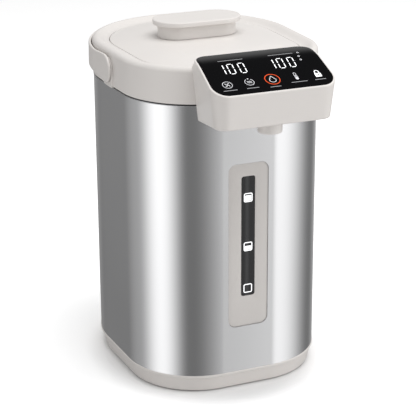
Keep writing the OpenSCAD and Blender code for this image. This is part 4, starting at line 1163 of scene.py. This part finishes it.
def make_world(studio):
    """Plain white for the camera, an even level for diffuse light, and upright bands for mirrors."""
    world = bpy.data.worlds.new("studio_world")
    bpy.context.scene.world = world
    world.use_nodes = True
    tree = world.node_tree
    tree.nodes.clear()
    way = add_node(tree, "ShaderNodeSeparateXYZ",
                   {"Vector": add_node(tree, "ShaderNodeTexCoord").outputs["Generated"]})
    azimuth = math_node(tree, "ARCTAN2", way.outputs["Y"], way.outputs["X"])
    light = None
    group = band_group()
    for centre, before, after, strength in BANDS:
        band = add_node(tree, "ShaderNodeGroup", node_tree=group)
        tree.links.new(azimuth, band.inputs["Azimuth"])
        for name, turn in (("Centre", centre), ("Before", before), ("After", after)):
            band.inputs[name].default_value = math.radians(turn)
        band.inputs["Strength"].default_value = strength
        light = math_node(tree, "ADD", band.outputs["Light"], BAND_BASE if light is None else light)
    ceiling = ramp(tree, way.outputs["Z"], 0.45, 0.72, 0.0, 1.0, "SMOOTHSTEP")
    near_floor = ramp(tree, way.outputs["Z"], -0.42, -0.26, 0.82, 1.02)
    walls = math_node(tree, "MULTIPLY", light, near_floor)
    room = add_node(tree, "ShaderNodeMix", {"Factor": ceiling, 2: walls, 3: DARK_CEILING}).outputs[0]
    path = add_node(tree, "ShaderNodeLightPath")
    level = add_node(tree, "ShaderNodeMix", {"Factor": path.outputs["Is Glossy Ray"], 2: studio.sky,
                                             3: room}).outputs[0]
    seen = math_node(tree, "MAXIMUM", path.outputs["Is Camera Ray"], path.outputs["Is Transmission Ray"])
    strength = add_node(tree, "ShaderNodeMix", {"Factor": seen, 2: level, 3: 1.0}).outputs[0]
    background = add_node(tree, "ShaderNodeBackground", {"Color": (1, 1, 1, 1), "Strength": strength})
    leave = add_node(tree, "ShaderNodeOutputWorld")
    tree.links.new(background.outputs[0], leave.inputs["Surface"])


def make_floor(studio):
    """A pale floor that keeps the pot's shadow, adds a painted shadow round the pot's foot for the camera,
    and reads as white away from it.
    """
    half = studio.floor_half
    points = np.array([(-half, -half, 0), (half, -half, 0), (half, half, 0), (-half, half, 0)])
    mesh = bpy.data.meshes.new("studio_floor")
    mesh.from_pydata(points.tolist(), [], [[0, 1, 2, 3]])
    floor = bpy.data.objects.new("studio_floor", mesh)
    bpy.context.scene.collection.objects.link(floor)
    paper = bpy.data.materials.new("floor_paper")
    paper.use_nodes = True
    tree = paper.node_tree
    tree.nodes.clear()
    path = add_node(tree, "ShaderNodeLightPath")
    place = add_node(tree, "ShaderNodeTexCoord").outputs["Object"]
    around = add_node(tree, "ShaderNodeMapping",
                      {"Vector": place, "Location": FOOT_SHIFT, "Scale": FOOT_SCALE})
    reach = add_node(tree, "ShaderNodeVectorMath", {0: around.outputs[0]}, operation="LENGTH")
    # Painted shadow: the tone the camera sees deepens towards the pot's foot
    tone = ramp(tree, reach.outputs["Value"], FOOT_REACH, WHITE_REACH, PAINTED_SHADOW_TONE, WHITE_TONE, "SMOOTHSTEP")
    bright = add_node(tree, "ShaderNodeBsdfDiffuse", {"Color": tone})
    plain = add_node(tree, "ShaderNodeBsdfDiffuse", {"Color": (0.78, 0.77, 0.765, 1)})
    shown = add_node(tree, "ShaderNodeMixShader", {0: path.outputs["Is Camera Ray"]})
    tree.links.new(plain.outputs[0], shown.inputs[1])
    tree.links.new(bright.outputs[0], shown.inputs[2])
    leave = add_node(tree, "ShaderNodeOutputMaterial")
    tree.links.new(shown.outputs[0], leave.inputs["Surface"])
    mesh.materials.append(paper)
    floor.visible_glossy = False


def make_lamp(name, place, aim, size, power):
    """A soft square lamp that looks at a point."""
    lamp = bpy.data.lights.new(name, "AREA")
    lamp.size = size
    lamp.energy = power
    holder = bpy.data.objects.new(name, lamp)
    holder.location = place
    holder.rotation_euler = (Vector(aim) - Vector(place)).to_track_quat("-Z", "Y").to_euler()
    holder.visible_glossy = False
    bpy.context.scene.collection.objects.link(holder)


def make_camera(studio):
    """Looks at a point beside the pot's axis, from an azimuth and an elevation, with a slight roll."""
    azimuth, elevation = studio.azimuth, studio.elevation
    right = Vector((math.cos(azimuth), math.sin(azimuth), 0))
    back = Vector((math.sin(azimuth) * math.cos(elevation), -math.cos(azimuth) * math.cos(elevation),
                   math.sin(elevation)))
    up = back.cross(right)
    across = right * math.cos(studio.roll) + up * math.sin(studio.roll)
    upright = up * math.cos(studio.roll) - right * math.sin(studio.roll)
    aim = right * studio.aim_side + Vector((0, AXIS_Y, studio.aim_height))
    data = bpy.data.cameras.new("studio_camera")
    data.lens = studio.focal_length
    data.sensor_width = 36
    data.clip_end = 20
    camera = bpy.data.objects.new("studio_camera", data)
    bpy.context.scene.collection.objects.link(camera)
    turn = Matrix((across, upright, back)).transposed().to_4x4()
    camera.matrix_world = Matrix.Translation(aim + back * studio.distance) @ turn
    bpy.context.scene.camera = camera


# Operators -------------------------------------------------------------------------------------

FINISHES = {}


def finish_of(name, context):
    """A finish by name; all are made when the first is asked for."""
    if not FINISHES:
        FINISHES.update(make_finishes(context.scene.pot_colours))
    return FINISHES[name]


class THERMOPOT_OT_stage(Operator):
    """Make the floor, the lamps, the world and the camera"""
    bl_idname = "thermopot.stage"
    bl_label = "Stage"

    def execute(self, context):
        studio = context.scene.pot_studio
        context.scene.view_settings.view_transform = "Standard"
        make_world(studio)
        make_floor(studio)
        make_lamp("key_lamp", (0.2, -0.3, 1.8), (0, 0, 0.2), 1.5, studio.key)
        make_lamp("side_lamp", (1.5, -1.0, 0.55), (0, 0, 0.18), 1.1, studio.side)
        make_camera(studio)
        return {"FINISHED"}


class THERMOPOT_OT_shell(Operator):
    """Make the steel shell and the base under it"""
    bl_idname = "thermopot.shell"
    bl_label = "Shell and base"

    def execute(self, context):
        body, window = context.scene.pot_body, context.scene.pot_window
        new_piece("steel_shell", steel_shell(body, window), finish_of("steel_shell", context), "pot",
                  ["outer_shell"])
        new_piece("shell_bead", shell_bead(body), finish_of("steel", context), "pot")
        new_piece("base_skirt", base_skirt(body), finish_of("cream", context), "pot", ["base_ring"])
        return {"FINISHED"}


class THERMOPOT_OT_collar(Operator):
    """Make the collar with its hinge bosses"""
    bl_idname = "thermopot.collar"
    bl_label = "Collar"

    def execute(self, context):
        body, top = context.scene.pot_body, context.scene.pot_top
        boss = hinge_boss(top)
        patch = joined(collar_ring(body), boss, mirrored(boss))
        new_piece("collar_ring", patch, finish_of("cream", context), "pot", ["collar"])
        # A dark strip in the gap over the steel: painted shade
        new_piece("collar_shade_strip", collar_shade_strip(body), finish_of("dark_plastic", context), "pot")
        return {"FINISHED"}


class THERMOPOT_OT_lid(Operator):
    """Make the lid's cover and its grip"""
    bl_idname = "thermopot.lid"
    bl_label = "Lid and grip"

    def execute(self, context):
        body, top = context.scene.pot_body, context.scene.pot_top
        cream = finish_of("cream", context)
        new_piece("lid_top", lid_top(body), cream, "lid", ["lid_cover"])
        stem = grip_part(STEM_LOW, STEM_HIGH, top.stem_foot, top.stem_edge)
        new_piece("grip_stem", stem, cream, "lid", ["knob_stem"])
        plate = grip_part(PLATE_LOW, PLATE_HIGH, top.plate_under, top.plate_edge)
        new_piece("grip_plate", plate, cream, "lid", ["knob_plate"])
        return {"FINISHED"}


class THERMOPOT_OT_head(Operator):
    """Make the head and the spout's nozzle"""
    bl_idname = "thermopot.head"
    bl_label = "Head"

    def execute(self, context):
        body, head = context.scene.pot_body, context.scene.pot_head
        cream = finish_of("cream", context)
        new_piece("head_shell", head_shell(body, head), cream, "pot", ["head_housing"])
        new_piece("nozzle_cup", nozzle_cup(), cream, "pot", ["spout_nozzle"])
        return {"FINISHED"}


class THERMOPOT_OT_panel(Operator):
    """Make the black panel and its lit marks"""
    bl_idname = "thermopot.panel"
    bl_label = "Panel"

    def execute(self, context):
        body, head = context.scene.pot_body, context.scene.pot_head
        surface = on_panel(body, head)
        new_piece("panel_glass", panel_glass(body, head), finish_of("black_glass", context), "pot",
                  ["control_panel"])
        # The key icons and captions are printed; their glow is painted light
        keys, lock = key_marks()
        marks = (("panel_digits", lit_digits(), "mark"), ("panel_keys", keys, "key"),
                 ("panel_lock", lock, "mark"), ("panel_captions", caption_bars(), "caption"),
                 ("panel_ring", water_ring(), "ring"))
        for name, shapes, finish in marks:
            mark_piece(name, shapes, surface, finish_of(finish, context))
        return {"FINISHED"}


class THERMOPOT_OT_window(Operator):
    """Make the level window with its plate, pane and marks"""
    bl_idname = "thermopot.window"
    bl_label = "Level window"

    def execute(self, context):
        window = context.scene.pot_window
        # The plate takes the cream with painted shade
        new_piece("window_plate", window_plate(window), finish_of("shaded_window_cream", context), "pot",
                  ["window_frame"])
        new_piece("sight_glass", sight_glass(window), finish_of("smoked", context), "pot",
                  ["sight_window"])
        # The level marks are printed; their glow is painted light
        mark_piece("level_marks", level_marks(window), on_sight(), finish_of("mark", context))
        return {"FINISHED"}


class THERMOPOT_OT_handle(Operator):
    """Make the strap handle"""
    bl_idname = "thermopot.handle"
    bl_label = "Handle"

    def execute(self, context):
        patch = strap_handle(context.scene.pot_top)
        new_piece("strap_handle", patch, finish_of("cream", context), "handle", ["handle"])
        return {"FINISHED"}


NODE_FINISHES = {
    "cream": ["head_underside"],
    "dark_plastic": ["base_plate", "power_inlet", "board_components", "pump_impeller"],
    "rubber": ["feet"],
    "steel": ["post_screws", "pot_posts", "head_screws", "lid_screws", "knob_screws", "hinge_pin_left",
              "hinge_pin_right", "inner_pot", "temperature_probe", "pump_shaft", "inlet_contacts"],
    "pale_plastic": ["lid_pan", "pump_housing", "pump_cover", "spout_pipe"],
    "silicone": ["lid_gasket", "steam_valve", "pot_seal", "inlet_hose", "pump_hose", "upper_elbow"],
    "insulation": ["insulation_jacket"],
    "aluminium": ["heater_plate"],
    "motor": ["heating_element", "thermostat", "thermal_fuse", "pump_motor"],
    "board": ["display_board", "power_board"],
    "clear": ["gauge_tube"],
}


class THERMOPOT_OT_nodes(Operator):
    """Give the frame's own parts their finishes"""
    bl_idname = "thermopot.nodes"
    bl_label = "Inner parts"

    def execute(self, context):
        for finish, names in NODE_FINISHES.items():
            refinish(finish_of(finish, context), *names)
        return {"FINISHED"}


class THERMOPOT_PT_sidebar(Panel):
    """Lists the steps and the settings"""
    bl_label = "Thermo Pot"
    bl_idname = "THERMOPOT_PT_sidebar"
    bl_space_type = "VIEW_3D"
    bl_region_type = "UI"
    bl_category = "Thermo Pot"

    def draw(self, context):
        for step in STEPS:
            self.layout.operator(step.bl_idname)
        for attribute, group in GROUPS.items():
            box = self.layout.box()
            box.label(text=group.__name__)
            for name in group.__annotations__:
                box.prop(getattr(context.scene, attribute), name)


STEPS = (THERMOPOT_OT_stage, THERMOPOT_OT_shell, THERMOPOT_OT_collar, THERMOPOT_OT_lid, THERMOPOT_OT_head,
         THERMOPOT_OT_panel, THERMOPOT_OT_window, THERMOPOT_OT_handle, THERMOPOT_OT_nodes)
GROUPS = {"pot_body": PotBody, "pot_head": PotHead, "pot_top": PotTop, "pot_window": PotWindow,
          "pot_colours": PotColours, "pot_studio": PotStudio}


def register():
    for group in GROUPS.values():
        bpy.utils.register_class(group)
    for attribute, group in GROUPS.items():
        setattr(bpy.types.Scene, attribute, PointerProperty(type=group))
    for step in STEPS:
        bpy.utils.register_class(step)
    bpy.utils.register_class(THERMOPOT_PT_sidebar)


def unregister():
    bpy.utils.unregister_class(THERMOPOT_PT_sidebar)
    for step in reversed(STEPS):
        bpy.utils.unregister_class(step)
    for attribute in GROUPS:
        delattr(bpy.types.Scene, attribute)
    for group in reversed(GROUPS.values()):
        bpy.utils.unregister_class(group)


def main():
    """Builds the whole pot."""
    register()
    for step in STEPS:
        area, name = step.bl_idname.split(".")
        getattr(getattr(bpy.ops, area), name)()


if __name__ == "__main__":
    main()
